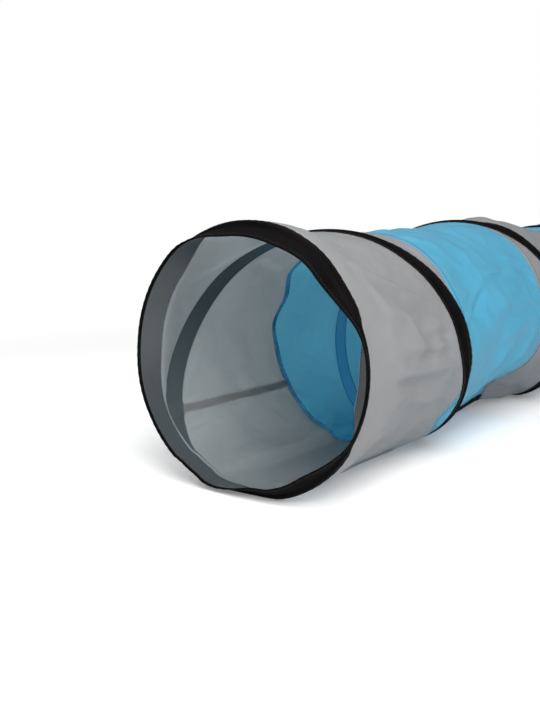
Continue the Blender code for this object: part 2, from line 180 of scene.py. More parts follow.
# Creases of the first panel: from and to, as degrees round and depth, then width and height
GREY_FOLDS = (((50, 0.022), (17, 0.186), 0.0060, 0.0032),
              ((60, 0.034), (14, 0.070), 0.0070, 0.0020),
              ((14, 0.115), (15, 0.206), 0.0050, 0.0016),
              ((7, 0.050), (6, 0.206), 0.0060, 0.0022),
              ((-4, 0.045), (-6, 0.206), 0.0060, 0.0022),
              ((-15, 0.060), (-24, 0.200), 0.0070, 0.0015),
              ((-40, 0.030), (-30, 0.110), 0.0080, 0.0012),
              ((28, 0.020), (20, 0.100), 0.0060, 0.0014),
              ((110, 0.040), (95, 0.150), 0.0070, 0.0015),
              ((150, 0.030), (130, 0.100), 0.0080, 0.0014),
              ((185, 0.070), (200, 0.180), 0.0070, 0.0014),
              ((225, 0.080), (236, 0.190), 0.0070, 0.0012))
FOLD_FADE = 0.35
FOLD_GAIN = 1.8
TROUGH_SHARE, TROUGH_PLACE = 0.6, 1.7
# The random creases, whose sizes are ranges to draw from; on the first panel they leave out the
# near side, which has enough of its own
FOLD_SEED = 70
FOLD_COUNTS = (12, 26, 26, 26)
FIRST_PANEL_FREE = (75, 320)
FOLD_SWING = 12
FOLD_REACH = (0.03, 0.06)
FOLD_WIDTH = (0.004, 0.008)
FOLD_HEIGHT = (0.0008, 0.0019)
# Puckers: a height, a number of waves round the tube, and the length of a fade
EDGE_PUCKER = (0.00030, 88, 0.009)
SEAM_PUCKER = (0.00025, 104, 0.006)
SEAM_GROOVE, SEAM_GROOVE_WIDTH = 0.0006, 0.0012
CREASE_MOUTH = 0.014
TAPE_CALM, MOUTH_CALM, SEAM_CALM = (-0.001, 0.016), (0, 0.020), (0, 0.014)

# The joins. The first seam's line is in millimetres off its plane, at angles round the tube
FIRST_SEAM_DRIFT = ((0, 0), (18, -2), (31, -3), (45, 2), (62, 5), (76, 4), (90, 6), (112, 0),
                    (139, -14), (158, 1), (174, -11), (190, -7), (230, 0), (295, 30), (306, 16),
                    (322, -8), (338, 4), (360, 0))
SEAM_REACH = 0.060
SEAM_WIDTH = 0.0075
SEAM_THICK = 0.0009
SEAM_OVERLAP = 0.0008
SEAM_GAP = 0.0002
SEAM_LOOPS, SEAM_LOOP_WAVES, SEAM_LOOP_RISE = 0.00018, 300, (0.55, 0.2)
SEAM_TAPER, SEAM_TAPER_RISE = 0.5, (0.9, 0.1)

# The bound closing seams
BINDING_ANGLES = (210, 300, 240, 330)
BINDING_TURN = 12.5
BINDING_WIDTH = 0.009
BINDING_THICK = 0.0008
BINDING_DIP, BINDING_DIP_EASE = 0.0013, 0.005
BINDING_FROM_MOUTH = TAPE_WIDTH * 1.2
BINDING_GAP = 0.0003
BINDING_LIFT = 0.0002
BINDING_PUCKER, BINDING_WAVES = 0.00012, 1900
BINDING_SQUARENESS = (0.35, 0.7)
BINDING_CHART = 0.003

# The casing tape
CASING_HALF = TAPE_HALF * COIL_STRETCH
CASING_GAP = 0.0004
CASING_LEAST = 0.0028
CASING_ARCH = (0.0009, 0.0040)
CASING_LIFT = 0.00008
CASING_MIDDLE = 0.0055
CASING_RIPPLE, CASING_WAVES, CASING_RIPPLE_RISE = 0.00014, 90, (0.007, 0.005)

# The ribbons. A rise is a smooth step, with the sewn end at zero and the free end at one; the
# bow and the curl's share are for the inner and the outer ribbon
RIBBON_GAP = 0.0001
RIBBON_THICK = 0.0004
RIBBON_BOW, RIBBON_BOW_RISE = (0.0006, 0.0020), (0.12, 0.5)
RIBBON_CURL, RIBBON_CURL_RISE = 0.0008, (0.2, 0.3)
RIBBON_CURL_TURNS, RIBBON_CURL_OFFSET, RIBBON_CURL_SHARES = 1.2, 0.3, (0.4, 1)
RIBBON_SWAY, RIBBON_SWAY_RISE, RIBBON_SWAY_WAVE = 0.0012, (0.12, 0.6), 2.5

# The stitches: a row's distance from the tape's edge, the pitch, and each kind's length as a
# share of the pitch with its width
ROW_MARGIN = 0.0015
LIP_ROW_MARGIN = 0.0020
STITCH_ROW = TAPE_HALF - ROW_MARGIN
STITCH_PITCH = 0.0032
TAPE_STITCH = (0.72, 0.0005)
JOIN_STITCH = (0.88, 0.00055)
JOIN_ROW = 0.0050
ROW_END_ROOM = 0.001
STITCH_SINK, STITCH_BOW = 0.93, 0.35

# How finely the pieces are divided; a step is in degrees
ROUND = 432
HOOP_ROUND = 360
WIRE_SIDES = 10
WIRE_STEP = 2.0
CASING_STEP = 1.0
CASING_ARCH_ROWS, CASING_SIDE_ROWS = 12, 8
HEM_MIDDLE_ROWS, HEM_SIDE_ROWS, HEM_BEND_ROWS = 23, 7, 9
SEAM_ROWS = 12
BEAD_RINGS, BEAD_SIDES = 5, 6
SLEEVE_RINGS, SLEEVE_SIDES = 25, 32
BINDING_ROWS, BINDING_SIDES = 160, 20
RIBBON_ROWS, RIBBON_COLUMNS = 60, 9

# The stage
FLOOR_HALF, FLOOR_DROP = 12.0, 0.0005
FLOOR_SHADE, FLOOR_SEEN_SHADE = 0.82, 0.97
FLOOR_WHITE_FROM, FLOOR_WHITE_TO = 0.68, 1.15
LAMP_TARGET = (0.0, -0.20, 0.12)
LAMPS = (("key", (1.05, -1.40, 1.60), 1.5), ("fill", (1.1, -2.0, 0.8), 1.6),
         ("top", (-0.4, 0.6, 2.2), 1.8))
SENSOR_WIDTH, LENS, CLIP_START = 36.0, 44.89, 0.02

COLOURS = {
    "grey": ("Grey cloth", (0.358, 0.335, 0.329)),
    "blue": ("Blue cloth", (0.106, 0.468, 0.69)),
    # Painted shade: the cloth's colour on its inside face where a tape on the outside blocks the
    # light through it
    "grey_in_tape_shade": ("Grey cloth in the tape's painted shade", (0.050, 0.057, 0.060)),
    "blue_in_tape_shade": ("Blue cloth in the tape's painted shade", (0.03, 0.36, 0.62)),
    # The cyan tint of the light through the grey cloth is a painted colour cast of blue light
    # bounced off the blue panels
    "grey_through": ("Light through the grey cloth", (0.79, 0.86, 0.89)),
    "blue_through": ("Light through the blue cloth", (0.50, 0.905, 1.0)),
    "tape": ("Tape", (0.0018, 0.0016, 0.0016)),
    "tape_lint": ("Lint on the tape", (0.0050, 0.0043, 0.0043)),
    "seam": ("Overlocked edge", (0.11, 0.40, 0.72)),
    "thread": ("Thread of the joins", (0.035, 0.10, 0.14)),
    "steel": ("Spring steel", (0.55, 0.55, 0.57)),
    "sleeve": ("Crimp sleeve", (0.68, 0.68, 0.70)),
}


# Shapes shared by all the layers. An angle is in radians unless its name ends in degrees, a
# depth is metres behind the front hoop and a radius is metres from the tube's axis.

def ramp(value):
    """Three v squared minus two v cubed, held at zero below zero and at one above one."""
    value = np.clip(value, 0, 1)
    return value * value * (3 - 2 * value)


def rise(value, stretch):
    """Smooth step from zero at the stretch's start to one at its end."""
    start, length = stretch
    return ramp((value - start) / length)


def bell(degrees, shape):
    """Bell curve round the tube: its height times e to the minus square of the angle off its
    middle over its spread."""
    height, middle, spread = shape
    return height * np.exp(-(((degrees - middle + 180) % 360 - 180) / spread) ** 2)


def stepped(table, value):
    """A table's value at a place: its rows joined by smooth steps, and held past its ends."""
    places, values = np.array(table, float).T
    value = np.clip(value, places[0], places[-1])
    k = np.clip(np.searchsorted(places, value, side="right") - 1, 0, len(places) - 2)
    share = rise(value, (places[k], places[k + 1] - places[k]))
    return values[k] + (values[k + 1] - values[k]) * share


def on_floor(angle, stretch):
    """One at the bottom of the tube, falling to zero on both sides in a smooth step."""
    reach, length = np.radians(stretch)
    return ramp((reach - np.abs(angle % (2 * np.pi) - 1.5 * np.pi)) / length)


def wander(angle, depth, waves, number=0):
    """Sum of sines of random direction, each a whole number of waves round the tube, so that it
    closes on itself. The number of a panel, seam or mouth is added to the seed."""
    height, size, terms, seed = waves
    rng = np.random.default_rng(seed + number)
    total = 0
    for _ in range(terms):
        heading, stretch = rng.uniform(0, np.pi), rng.uniform(*WANDER_STRETCH)
        phase = rng.uniform(0, WANDER_PHASE)
        turns = 2 * np.pi / (size * stretch)
        whole = np.round(turns * np.cos(heading) * TUBE_RADIUS)
        total = total + np.sin(whole * angle + turns * np.sin(heading) * depth + phase)
    return height * total / math.sqrt(terms / 2)


def waist(depth):
    """Sine squared over the first and the last stretch of the tube, times the waist's draw."""
    inward = np.minimum(depth, LENGTH - depth) / WAIST_LENGTH
    return WAIST_DRAW * np.sin(np.pi * np.clip(inward, 0, 1)) ** 2


def pressed(angle, depth):
    """Places where the round is pressed in, each a bell round the tube: beside the mouth's upper
    right; in two smooth steps behind the coil's first turn, under the blue panel; a tilt of the
    tape about that turn, u times the root of e to the power of one minus u squared; and less
    sag on top behind the second turn. The turn that is measured from changes where none of
    them reaches."""
    degrees = np.degrees(angle) % 360
    behind = depth - coil_depth(np.where(degrees > PRESS_CUT_ANGLE, degrees - 360, degrees))
    mouth = bell(degrees, MOUTH_PRESS) * (1 - rise(depth, MOUTH_PRESS_FADE))
    under = bell(degrees, UNDER_PRESS) * rise(behind, UNDER_PRESS_RISE)
    beside = bell(degrees, BESIDE_PRESS) * rise(behind, BESIDE_PRESS_RISE)
    share = behind / TAPE_HALF
    tilt = bell(degrees, TAPE_TILT) * share * np.exp((1 - share ** 2) / 2)
    swell = bell(degrees, TOP_SWELL) * rise(depth, SWELL_RISE) * (1 - rise(depth, SWELL_FADE))
    return mouth + (under + beside) * (1 - rise(depth, PRESS_FADE)) + tilt - swell


def place(angle, radius, depth):
    """Point at an angle and radius round an axis whose height follows the local outside radius,
    so that the tube rests on the floor; near the floor the reach is the smooth lesser of the
    round's and a flat foot's: half their sum less the root of their half difference squared
    plus the easing squared. Low at the sides the round keeps its width through the waist."""
    outside = TUBE_RADIUS - waist(depth)
    height = outside * FOOT_COSINE
    floor = height / np.maximum(FLOOR_SINE_LEAST, -np.sin(angle))
    low = np.abs((np.degrees(angle) - 90) % 360 - 180)
    wide = outside + waist(depth) * bell(low, LOW_SIDE)
    rounded = (wide + floor) / 2 - np.hypot((wide - floor) / 2, FOOT_EASE)
    reach = radius - TUBE_RADIUS + rounded - pressed(angle, depth)
    return np.stack(np.broadcast_arrays(reach * np.cos(angle), HOOP_FRONT + depth,
                                        height + reach * np.sin(angle)), axis=-1)


def coil_depth(degrees):
    """Depth of the coil at an unwound angle: an even climb whose two ends are rounded off by a
    half of x plus the root of x squared plus the ease squared, and its own drift."""
    run = (COIL_START - degrees) / COIL_SWEEP * COIL_RUN

    def eased(length):
        return (length + np.hypot(length, COIL_EASE)) / 2

    drift = stepped(COIL_DRIFT, degrees) / 1000
    return COIL_BESIDE + eased(run) - eased(run - COIL_RUN) + drift


def coil_passes(angle):
    """Depths at which the coil crosses an angle, one row for each turn. Past its ends the coil's
    line runs smoothly into the hoop's."""
    turned = np.degrees(angle) % 360
    rows = []
    for turn in COIL_TURNS:
        run = COIL_START - turned + 360 * turn
        before = ramp((run + COIL_OVERRUN + COIL_MERGE) / COIL_MERGE)
        after = ramp((COIL_SWEEP + COIL_OVERRUN + COIL_MERGE - run) / COIL_MERGE)
        depth = coil_depth(COIL_START - run)
        rows.append(np.where(run < COIL_SWEEP / 2, depth * before,
                             LENGTH - (LENGTH - depth) * after))
    return np.stack(rows)


def wire_distance(angle, depth):
    """Distance across the casing tape from the nearest turn of the coil."""
    passes = coil_passes(angle)
    own = np.abs(passes - LENGTH / 2) < LENGTH / 2 - HOOP_NEAR
    return np.min(np.where(own, np.abs(passes - depth), FAR), axis=0) / COIL_STRETCH


def seated_radius(angle, depth, sag):
    """Outer radius of the cloth: the wire's seat less a parabola between two passes of the wire,
    four u times one minus u times the sag share times the span. On the floor the cloth is let
    down to the tube's own radius."""
    turns = coil_passes(angle)
    passes = np.concatenate([turns, np.zeros_like(turns[:1]), np.full_like(turns[:1], LENGTH)])
    low = np.max(np.where(passes <= depth, passes, -TUBE_RADIUS), axis=0) + TAPE_HALF
    high = np.min(np.where(passes > depth, passes, LENGTH + TUBE_RADIUS), axis=0) - TAPE_HALF
    span = np.maximum(high - low, SPAN_LEAST)
    along = np.clip((depth - low) / span, 0, 1)
    drawn = 4 * along * (1 - along) * sag * span
    foot = on_floor(angle, CLOTH_FOOT)
    let_down = rise(np.minimum(depth - low, high - depth), LET_DOWN)
    lowered = CLOTH_SEAT + (TUBE_RADIUS - CLOTH_SEAT) * let_down
    return (CLOTH_SEAT - drawn) * (1 - foot) + lowered * foot


def seam_drift(index, angle):
    """How far a seam wanders from its plane: the first follows its own table, and the others a
    sum of sines, the second with a bell backwards under the tube."""
    degrees = np.degrees(angle)
    if index == 1:
        return stepped(FIRST_SEAM_DRIFT, degrees % 360) / 1000
    back = bell(degrees, SECOND_SEAM_BACK) if index == 2 else 0
    return wander(angle, 0, SEAM_WANDER, index) + back


def drifted(angle, depth):
    """Depth moved along with each seam that is nearer than its reach."""
    moved = depth
    for index in range(1, LAST_PANEL + 1):
        near = 1 - ramp(np.abs(depth - SEAMS[index]) / SEAM_REACH)
        moved = moved + seam_drift(index, angle) * near
    return moved


class Hem:
    """A mouth's hem at each angle: its turn, its lip and base, and the seat of its wire."""

    def __init__(self, angle, rear):
        share = stepped(REAR_LEANS if rear else FRONT_LEANS, angle / (2 * np.pi) % 1)
        self.angle, self.rear = angle, rear
        self.turn = share * np.where(share > 0, LEAN_INWARD, LEAN_OUTWARD)
        self.lip = -TAPE_WIDTH * (0.5 + LEAN_SHARE * share)
        self.base = TAPE_WIDTH * (0.5 - LEAN_SHARE * share)
        away = np.abs(np.degrees(angle) % 360 - FERRULE_ANGLES[rear])
        bump = FERRULE_RISE * (1 - rise(away, FERRULE_FADE))
        self.seat, self.half = WIRE_SEAT - bump, CHANNEL + bump
        self.foot = on_floor(angle, HEM_FOOT)

    def point(self, along, out):
        """Along and out from the hoop turned by the hem's lean, as a radius and a depth. Over
        the foot the part behind the hoop stays level, so that it lies on the floor."""
        turn = self.turn * (1 - self.foot * rise(along, HEM_LEVEL) * (self.turn > 0))
        depth = along * np.cos(turn) - out * np.sin(turn)
        radius = self.seat + along * np.sin(turn) + out * np.cos(turn)
        return radius, LENGTH - depth if self.rear else depth

    def tape_face(self, along):
        """Inner face of the outer tape: flat on the cloth, and arched by a smooth step over the
        hoop and over each pass of the coil."""
        coil = coil_passes(self.angle)
        coil = LENGTH - coil if self.rear else coil
        near = np.minimum(np.abs(along), np.min(np.abs(coil - along), axis=0))
        floor, top = HEM_FLOOR_GAP - self.half, self.half + HEM_TOP_GAP
        return floor + (top - floor) * (1 - rise(near, HEM_ARCH))


def mouth_lead(angle, rear):
    """Radius and depth at which the cloth leaves a hem, and the distance it then takes to reach
    its own radius, which ends before the coil's tape."""
    hem = Hem(angle, rear)
    radius, depth = hem.point(hem.base + HEM_MARGIN, -hem.half)
    gaps = (coil_passes(angle) - depth) * (-1 if rear else 1)
    gaps = np.where(gaps > -HOOP_NEAR, np.maximum(gaps - TAPE_HALF, MOUTH_BLEND_LEAST), FAR)
    return radius, depth, np.minimum(np.min(gaps, axis=0), MOUTH_BLEND)


def fold(angle, depth, start, end, width, height):
    """A crease from one place to another: a bell across its line beside a lower trough, faded
    at both ends by a smooth step. Places are degrees round and depth."""
    (from_turn, from_depth), (to_turn, to_depth) = start, end
    across = (np.degrees(angle) - from_turn + 180) % 360 - 180
    x, y = np.radians(across) * TUBE_RADIUS, depth - from_depth
    run = np.array([math.radians(to_turn - from_turn) * TUBE_RADIUS, to_depth - from_depth])
    size = np.hypot(*run)
    run = run / size
    along, aside = (x * run[0] + y * run[1]) / size, (y * run[0] - x * run[1]) / width
    fade = ramp(along / FOLD_FADE) * ramp((1 - along) / FOLD_FADE)
    trough = TROUGH_SHARE * np.exp(-(aside - TROUGH_PLACE) ** 2 / 2)
    return FOLD_GAIN * height * fade * (np.exp(-aside ** 2 / 2) - trough)


def creases(index, angle, depth, factor):
    """Relief of a panel: its folds, a slow wander, a ridged one, a fine crinkle and short puckers
    beside the stitched edges, all faded out under the tapes; and a groove along each seam."""
    rng = np.random.default_rng(FOLD_SEED + index)
    relief = wander(angle, depth, SLOW_RELIEF, index) + wander(angle, depth, CRINKLE, index)
    relief = relief - np.abs(wander(angle, depth, RIDGED_RELIEF, index))
    for start, end, width, height in (() if index else GREY_FOLDS):
        relief = relief + fold(angle, depth, start, end, width, height)
    for _ in range(FOLD_COUNTS[index]):
        turn, middle = rng.uniform(0, 360), rng.uniform(SEAMS[index], SEAMS[index + 1])
        if index == 0 and not FIRST_PANEL_FREE[0] < turn < FIRST_PANEL_FREE[1]:
            continue
        swing, reach = rng.normal(0, FOLD_SWING), rng.uniform(*FOLD_REACH)
        relief = relief + fold(angle, depth, (turn - swing, middle - reach),
                               (turn + swing, middle + reach), rng.uniform(*FOLD_WIDTH),
                               rng.uniform(*FOLD_HEIGHT))
    beside = wire_distance(angle, depth) - TAPE_HALF
    mouth = np.minimum(depth, LENGTH - depth) - CREASE_MOUTH
    seam = np.min([np.abs(depth - drifted(angle, seam)) for seam in SEAMS[1:-1]], axis=0)
    height, waves, fade = EDGE_PUCKER
    edge = np.maximum(np.minimum(beside, mouth), 0)
    phase = wander(angle, depth, PUCKER_WANDER)
    relief = relief + height * np.cos(angle * waves + phase) * np.exp(-edge / fade)
    height, waves, fade = SEAM_PUCKER
    relief = relief + height * np.cos(angle * waves) * np.exp(-seam / fade)
    calm = rise(beside, TAPE_CALM) * rise(mouth, MOUTH_CALM) * rise(seam, SEAM_CALM)
    groove = SEAM_GROOVE * np.exp(-(seam / SEAM_GROOVE_WIDTH) ** 2)
    return factor * relief * calm * (1 - on_floor(angle, CREASE_FOOT)) - groove


def binding_angle(index, depth):
    """Angle of a panel's closing seam in degrees; the second one runs down in a smooth step."""
    down = BINDING_TURN * rise(depth, BINDING_DRIFT) if index == 1 else 0
    return BINDING_ANGLES[index] - down


def cloth(index, angle, depth, settings):
    """Radius and depth of a panel's outer face, wherever it isn't in a hem: the seated radius
    with its creases, dipped in a smooth step under the closing seam and eased to the hem."""
    moved = drifted(angle, depth)
    radius = seated_radius(angle, moved, settings.sag_share)
    radius = radius + creases(index, angle, moved, settings.crease_height)
    off = np.abs((np.degrees(angle) - binding_angle(index, moved) + 180) % 360 - 180)
    off = np.radians(off) * TUBE_RADIUS
    radius = radius - BINDING_DIP * (1 - rise(off, (BINDING_WIDTH / 2, BINDING_DIP_EASE)))
    if index in (0, LAST_PANEL):
        base, start, reach = mouth_lead(angle, index == LAST_PANEL)
        radius = radius + (base - radius) * (1 - ramp(np.abs(moved - start) / reach))
    return radius, moved


# Meshes

def new_object(name, points, faces, inside_out, material, uv=None, values=None):
    """An object from points and arrays of faces, each array with one number of corners; the UV
    is in metres, and each further value becomes an attribute of the points."""
    loops = np.concatenate([part.ravel() for part in faces])
    corners = np.concatenate([np.full(len(part), part.shape[1]) for part in faces])
    mesh = bpy.data.meshes.new(name)
    mesh.vertices.add(len(points))
    mesh.vertices.foreach_set("co", points.ravel())
    mesh.loops.add(len(loops))
    mesh.loops.foreach_set("vertex_index", loops)
    mesh.polygons.add(len(corners))
    mesh.polygons.foreach_set("loop_start", np.cumsum(corners) - corners)
    if uv is not None:
        mesh.uv_layers.new(name="Metres").data.foreach_set("uv", uv.ravel())
    for key, value in (values or {}).items():
        attribute = mesh.attributes.new(key, "FLOAT", "POINT")
        attribute.data.foreach_set("value", np.ascontiguousarray(value, dtype=np.float32).ravel())
    mesh.update(calc_edges=True)
    if inside_out:
        mesh.flip_normals()
    mesh.shade_smooth()
    mesh.materials.append(material)
    thing = bpy.data.objects.new(name, mesh)
    bpy.context.collection.objects.link(thing)
    return thing


def surface(name, points, chart, closed, material, values=None):
    """A mesh from a grid of points, joined along its first side where closed says so, and always
    along its second; a side left open is capped. The chart gives its UV in metres."""
    count, size = points.shape[:2]
    i, j = np.meshgrid(np.arange(count if closed else count - 1), np.arange(size), indexing="ij")
    corners = [(i, j), (i + 1, j), (i + 1, j + 1), (i, j + 1)]
    quads = np.stack([(a % count) * size + b % size for a, b in corners], axis=-1).reshape(-1, 4)
    uv = np.stack([chart[a, b] for a, b in corners], axis=-2).reshape(-1, 2)
    points = points.reshape(-1, 3)
    first, *others = (points[quads[:, k]] for k in range(4))
    volume = sum(np.einsum("ij,ij->", first, np.cross(a, b)) for a, b in zip(others, others[1:]))
    faces = [quads]
    if not closed:
        faces.append(np.stack([np.arange(size), (count - 1) * size + np.arange(size)[::-1]]))
        uv = np.concatenate([uv, chart[0, :size], chart[count - 1, :size][::-1]])
    return new_object(name, points, faces, volume < 0, material, uv, values)


def grid_chart(first, second):
    """UV grid whose first value runs along the first side and whose second runs across."""
    return np.stack(np.meshgrid(first, second, indexing="ij"), axis=-1)


def run_along(*coordinates):
    """Length along a line from its first point."""
    steps = np.sqrt(sum(np.diff(values) ** 2 for values in coordinates))
    return np.concatenate([[0], np.cumsum(steps)])


def unit(vectors):
    """The vectors at unit length."""
    return vectors / np.linalg.norm(vectors, axis=1)[:, None]


def square_to(along, out):
    """The part of each outward vector that is square to its line, at unit length."""
    return unit(out - along * np.sum(out * along, axis=1)[:, None])


def beads(name, rows, stitch, material):
    """A stitch at each centre of the rows: a half-sunk lens of thread, its radius the root of
    one minus s squared, bowed out at its middle by a cosine."""
    centre, along, out = (np.concatenate(part) for part in zip(*rows))
    length, width = STITCH_PITCH * stitch[0], stitch[1]
    share = np.linspace(-1, 1, BEAD_RINGS)
    turn = np.arange(BEAD_SIDES) * 2 * np.pi / BEAD_SIDES
    radius = width / 2 * np.sqrt(np.maximum(1 - (share * STITCH_SINK) ** 2, 0))
    lift = width * STITCH_BOW * np.cos(share * np.pi / 2)
    spine = centre[:, None, :] + along[:, None, :] * (share * length / 2)[None, :, None]
    spine = spine + out[:, None, :] * lift[None, :, None]
    side = np.cross(along, out)
    ring = (side[:, None, None, :] * np.cos(turn)[None, None, :, None]
            + out[:, None, None, :] * np.sin(turn)[None, None, :, None])
    points = spine[:, :, None, :] + ring * radius[None, :, None, None]
    i, j = np.meshgrid(np.arange(BEAD_RINGS - 1), np.arange(BEAD_SIDES), indexing="ij")
    after = (j + 1) % BEAD_SIDES
    quad = np.stack([i * BEAD_SIDES + j, i * BEAD_SIDES + after, (i + 1) * BEAD_SIDES + after,
                     (i + 1) * BEAD_SIDES + j], axis=-1).reshape(-1, 4)
    end = np.arange(BEAD_SIDES)
    cap = np.stack([end[::-1], (BEAD_RINGS - 1) * BEAD_SIDES + end])
    base = (np.arange(len(centre)) * BEAD_RINGS * BEAD_SIDES)[:, None, None]
    faces = [(base + part).reshape(-1, part.shape[1]) for part in (quad, cap)]
    first = points[0].reshape(-1, 3)
    corner = first[quad[0]]
    normal = np.cross(corner[1] - corner[0], corner[2] - corner[0])
    inside_out = normal @ (corner.mean(axis=0) - first.mean(axis=0)) < 0
    return new_object(name, points.reshape(-1, 3), faces, inside_out, material)


def dress(piece, body, anchor=None, nodes=()):
    """Rides a piece on its body and hides the frame's parts that it stands for; a piece with an
    anchor gets a mesh of its own."""
    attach(piece, body)
    if nodes:
        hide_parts(*nodes)
    if anchor is not None:
        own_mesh(piece)


def ring_of(index):
    """Name of the body that a panel rides on."""
    return f"panel_{index + 1}_ring" if index else "front_mouth"


# Materials: shared effects are node groups, and the shader stays in each material

def add(tree, kind, **inputs):
    """A node of this kind with these input values or links; its own settings start with at_."""
    node = tree.nodes.new(kind)
    for key, value in inputs.items():
        if key.startswith("at_"):
            setattr(node, key[3:], value)
    for key, value in inputs.items():
        if key.startswith("at_"):
            continue
        numbered = key[0] == "i" and key[1:].isdigit()
        socket = node.inputs[int(key[1:]) if numbered else key.replace("_", " ")]
        if isinstance(value, bpy.types.NodeSocket):
            tree.links.new(value, socket)
        else:
            socket.default_value = value
    return node


def maths(tree, operation, first, second=0.0, third=0.0):
    """Output of a Math node."""
    return add(tree, "ShaderNodeMath", at_operation=operation, i0=first, i1=second,
               i2=third).outputs[0]


def blend(tree, share, first, second):
    """Output of a colour mix."""
    return add(tree, "ShaderNodeMix", at_data_type="RGBA", i0=share, i6=first,
               i7=second).outputs[2]


def remap(tree, value, start, stop, low=0.0, high=1.0):
    """Output of a Map Range node."""
    return add(tree, "ShaderNodeMapRange", Value=value, From_Min=start, From_Max=stop,
               To_Min=low, To_Max=high).outputs[0]


def group(name, inputs, output, fill):
    """A shader node group with these float inputs after a vector, and one float output. It is
    filled once."""
    if name in bpy.data.node_groups:
        return bpy.data.node_groups[name]
    tree = bpy.data.node_groups.new(name, "ShaderNodeTree")
    tree.interface.new_socket("Place", in_out="INPUT", socket_type="NodeSocketVector")
    for label, value in inputs:
        socket = tree.interface.new_socket(label, in_out="INPUT", socket_type="NodeSocketFloat")
        socket.default_value = value
    tree.interface.new_socket(output, in_out="OUTPUT", socket_type="NodeSocketFloat")
    start, end = tree.nodes.new("NodeGroupInput"), tree.nodes.new("NodeGroupOutput")
    tree.links.new(fill(tree, start.outputs), end.inputs[0])
    return tree


def weave_group():
    """Plain weave: the product of a sine along each thread direction, as a height about zero."""
    def fill(tree, given):
        axes = add(tree, "ShaderNodeSeparateXYZ", Vector=given["Place"])
        warp, weft = (maths(tree, "SINE", maths(tree, "MULTIPLY", axes.outputs[k], given[label]))
                      for k, label in ((0, "Warp"), (1, "Weft")))
        loose = add(tree, "ShaderNodeTexNoise", Vector=given["Place"], Scale=900.0, Detail=2.0)
        return maths(tree, "MULTIPLY_ADD", loose.outputs[0], 0.6,
                     maths(tree, "MULTIPLY", warp, weft))
    return group("thread_weave", [("Warp", 9000.0), ("Weft", 9000.0)], "Height", fill)


def rib_group():
    """Woven tape: fine ribs across its length, crossed by a shallow twill line."""
    def fill(tree, given):
        axes = add(tree, "ShaderNodeSeparateXYZ", Vector=given["Place"])
        along, across = axes.outputs[0], axes.outputs[1]
        rib = maths(tree, "SINE", maths(tree, "MULTIPLY", along, given["Ribs"]))
        slanted = maths(tree, "MULTIPLY_ADD", across, 0.6, along)
        twill = maths(tree, "SINE", maths(tree, "MULTIPLY", slanted, 2600.0))
        return maths(tree, "MULTIPLY_ADD", twill, 0.35, rib)
    return group("tape_ribs", [("Ribs", 5200.0)], "Height", fill)


def wear_group():
    """Uneven handling: a broad cloud and a fine speckle, as a mask from zero to one."""
    def fill(tree, given):
        cloud, fine = (add(tree, "ShaderNodeTexNoise", Vector=given["Place"], Scale=given[label],
                           Detail=detail, Roughness=rough).outputs[0]
                       for label, detail, rough in (("Cloud", 3.0, 0.55), ("Speckle", 4.0, 0.6)))
        both = maths(tree, "MULTIPLY_ADD", fine, 0.35, maths(tree, "MULTIPLY", cloud, 0.65))
        return remap(tree, both, 0.34, 0.66)
    return group("handling_wear", [("Cloud", 9.0), ("Speckle", 260.0)], "Mask", fill)


def start_material(name):
    """An empty material with its output and its object coordinates."""
    material = bpy.data.materials.new(name)
    material.use_nodes = True
    tree = material.node_tree
    tree.nodes.clear()
    output = tree.nodes.new("ShaderNodeOutputMaterial")
    return material, tree, output.inputs[0], tree.nodes.new("ShaderNodeTexCoord").outputs["Object"]


def use(tree, shared, **inputs):
    """Output of a shared effect placed in a material."""
    return add(tree, "ShaderNodeGroup", at_node_tree=shared, **inputs).outputs[0]


def metres(tree):
    """The piece's own UV, in metres."""
    return add(tree, "ShaderNodeUVMap", at_uv_map="Metres").outputs[0]


def times(colour, factor, plus=0):
    """A colour multiplied by a factor, with a little white added."""
    return tuple(min(1, part * factor + plus) for part in colour[:3]) + (1,)


def principled(tree, base, rough, height, distance, strength, **plain):
    """A Principled shader with a bump, and with plain values on its own sockets."""
    bump = add(tree, "ShaderNodeBump", Height=height, Distance=distance, Strength=strength)
    return add(tree, "ShaderNodeBsdfPrincipled", Base_Color=base, Roughness=rough,
               Normal=bump.outputs[0], **plain).outputs[0]


def polyester(name, colour, tape_shade_colour, through_colour, thread):
    """Thin polyester: satin weave, handling clouds, painted shade on the inside where a tape on
    the outside blocks the light through the cloth, the stitching showing through on the inside,
    and light through the cloth where no tape backs it. Light crosses an outer and an inner face,
    and the inner one lets more of it pass."""
    material, tree, output, where = start_material(name)
    weave = use(tree, weave_group(), Place=metres(tree), Warp=11000.0, Weft=9500.0)
    wear = use(tree, wear_group(), Place=where, Cloud=14.0, Speckle=320.0)
    inside, cover, row = (add(tree, "ShaderNodeAttribute", at_attribute_name=key).outputs["Fac"]
                          for key in ("inside", "tape_depth", "row_distance"))
    # Painted shade mask: where a tape on the outside shades the inside face; it also stops the
    # light through the cloth
    tape_shade_mask = remap(tree, cover, -0.0006, 0.0008)
    line = maths(tree, "MULTIPLY", remap(tree, row, 0.0010, 0.0004), inside)
    base = blend(tree, wear, times(colour, 0.88), colour)
    # Painted shade of the tapes on the inside face of the cloth
    base = blend(tree, maths(tree, "MULTIPLY", tape_shade_mask, inside), base, tape_shade_colour)
    base = blend(tree, maths(tree, "MULTIPLY", line, 0.75), base, thread)
    shader = principled(tree, base, remap(tree, wear, 0, 1, 0.36, 0.48), weave, 0.00002, 0.6,
                        Sheen_Weight=0.06, Sheen_Roughness=0.35, Specular_IOR_Level=0.5)
    lit = blend(tree, wear, times(through_colour, 0.9), through_colour)
    through = add(tree, "ShaderNodeBsdfTranslucent", Color=lit)
    passing = maths(tree, "MULTIPLY", maths(tree, "SUBTRACT", 1.0, tape_shade_mask),
                    remap(tree, inside, 0, 1, 0.42, 0.80))
    mixed = add(tree, "ShaderNodeMixShader", i0=passing, i1=shader, i2=through.outputs[0])
    tree.links.new(mixed.outputs[0], output)
    return material


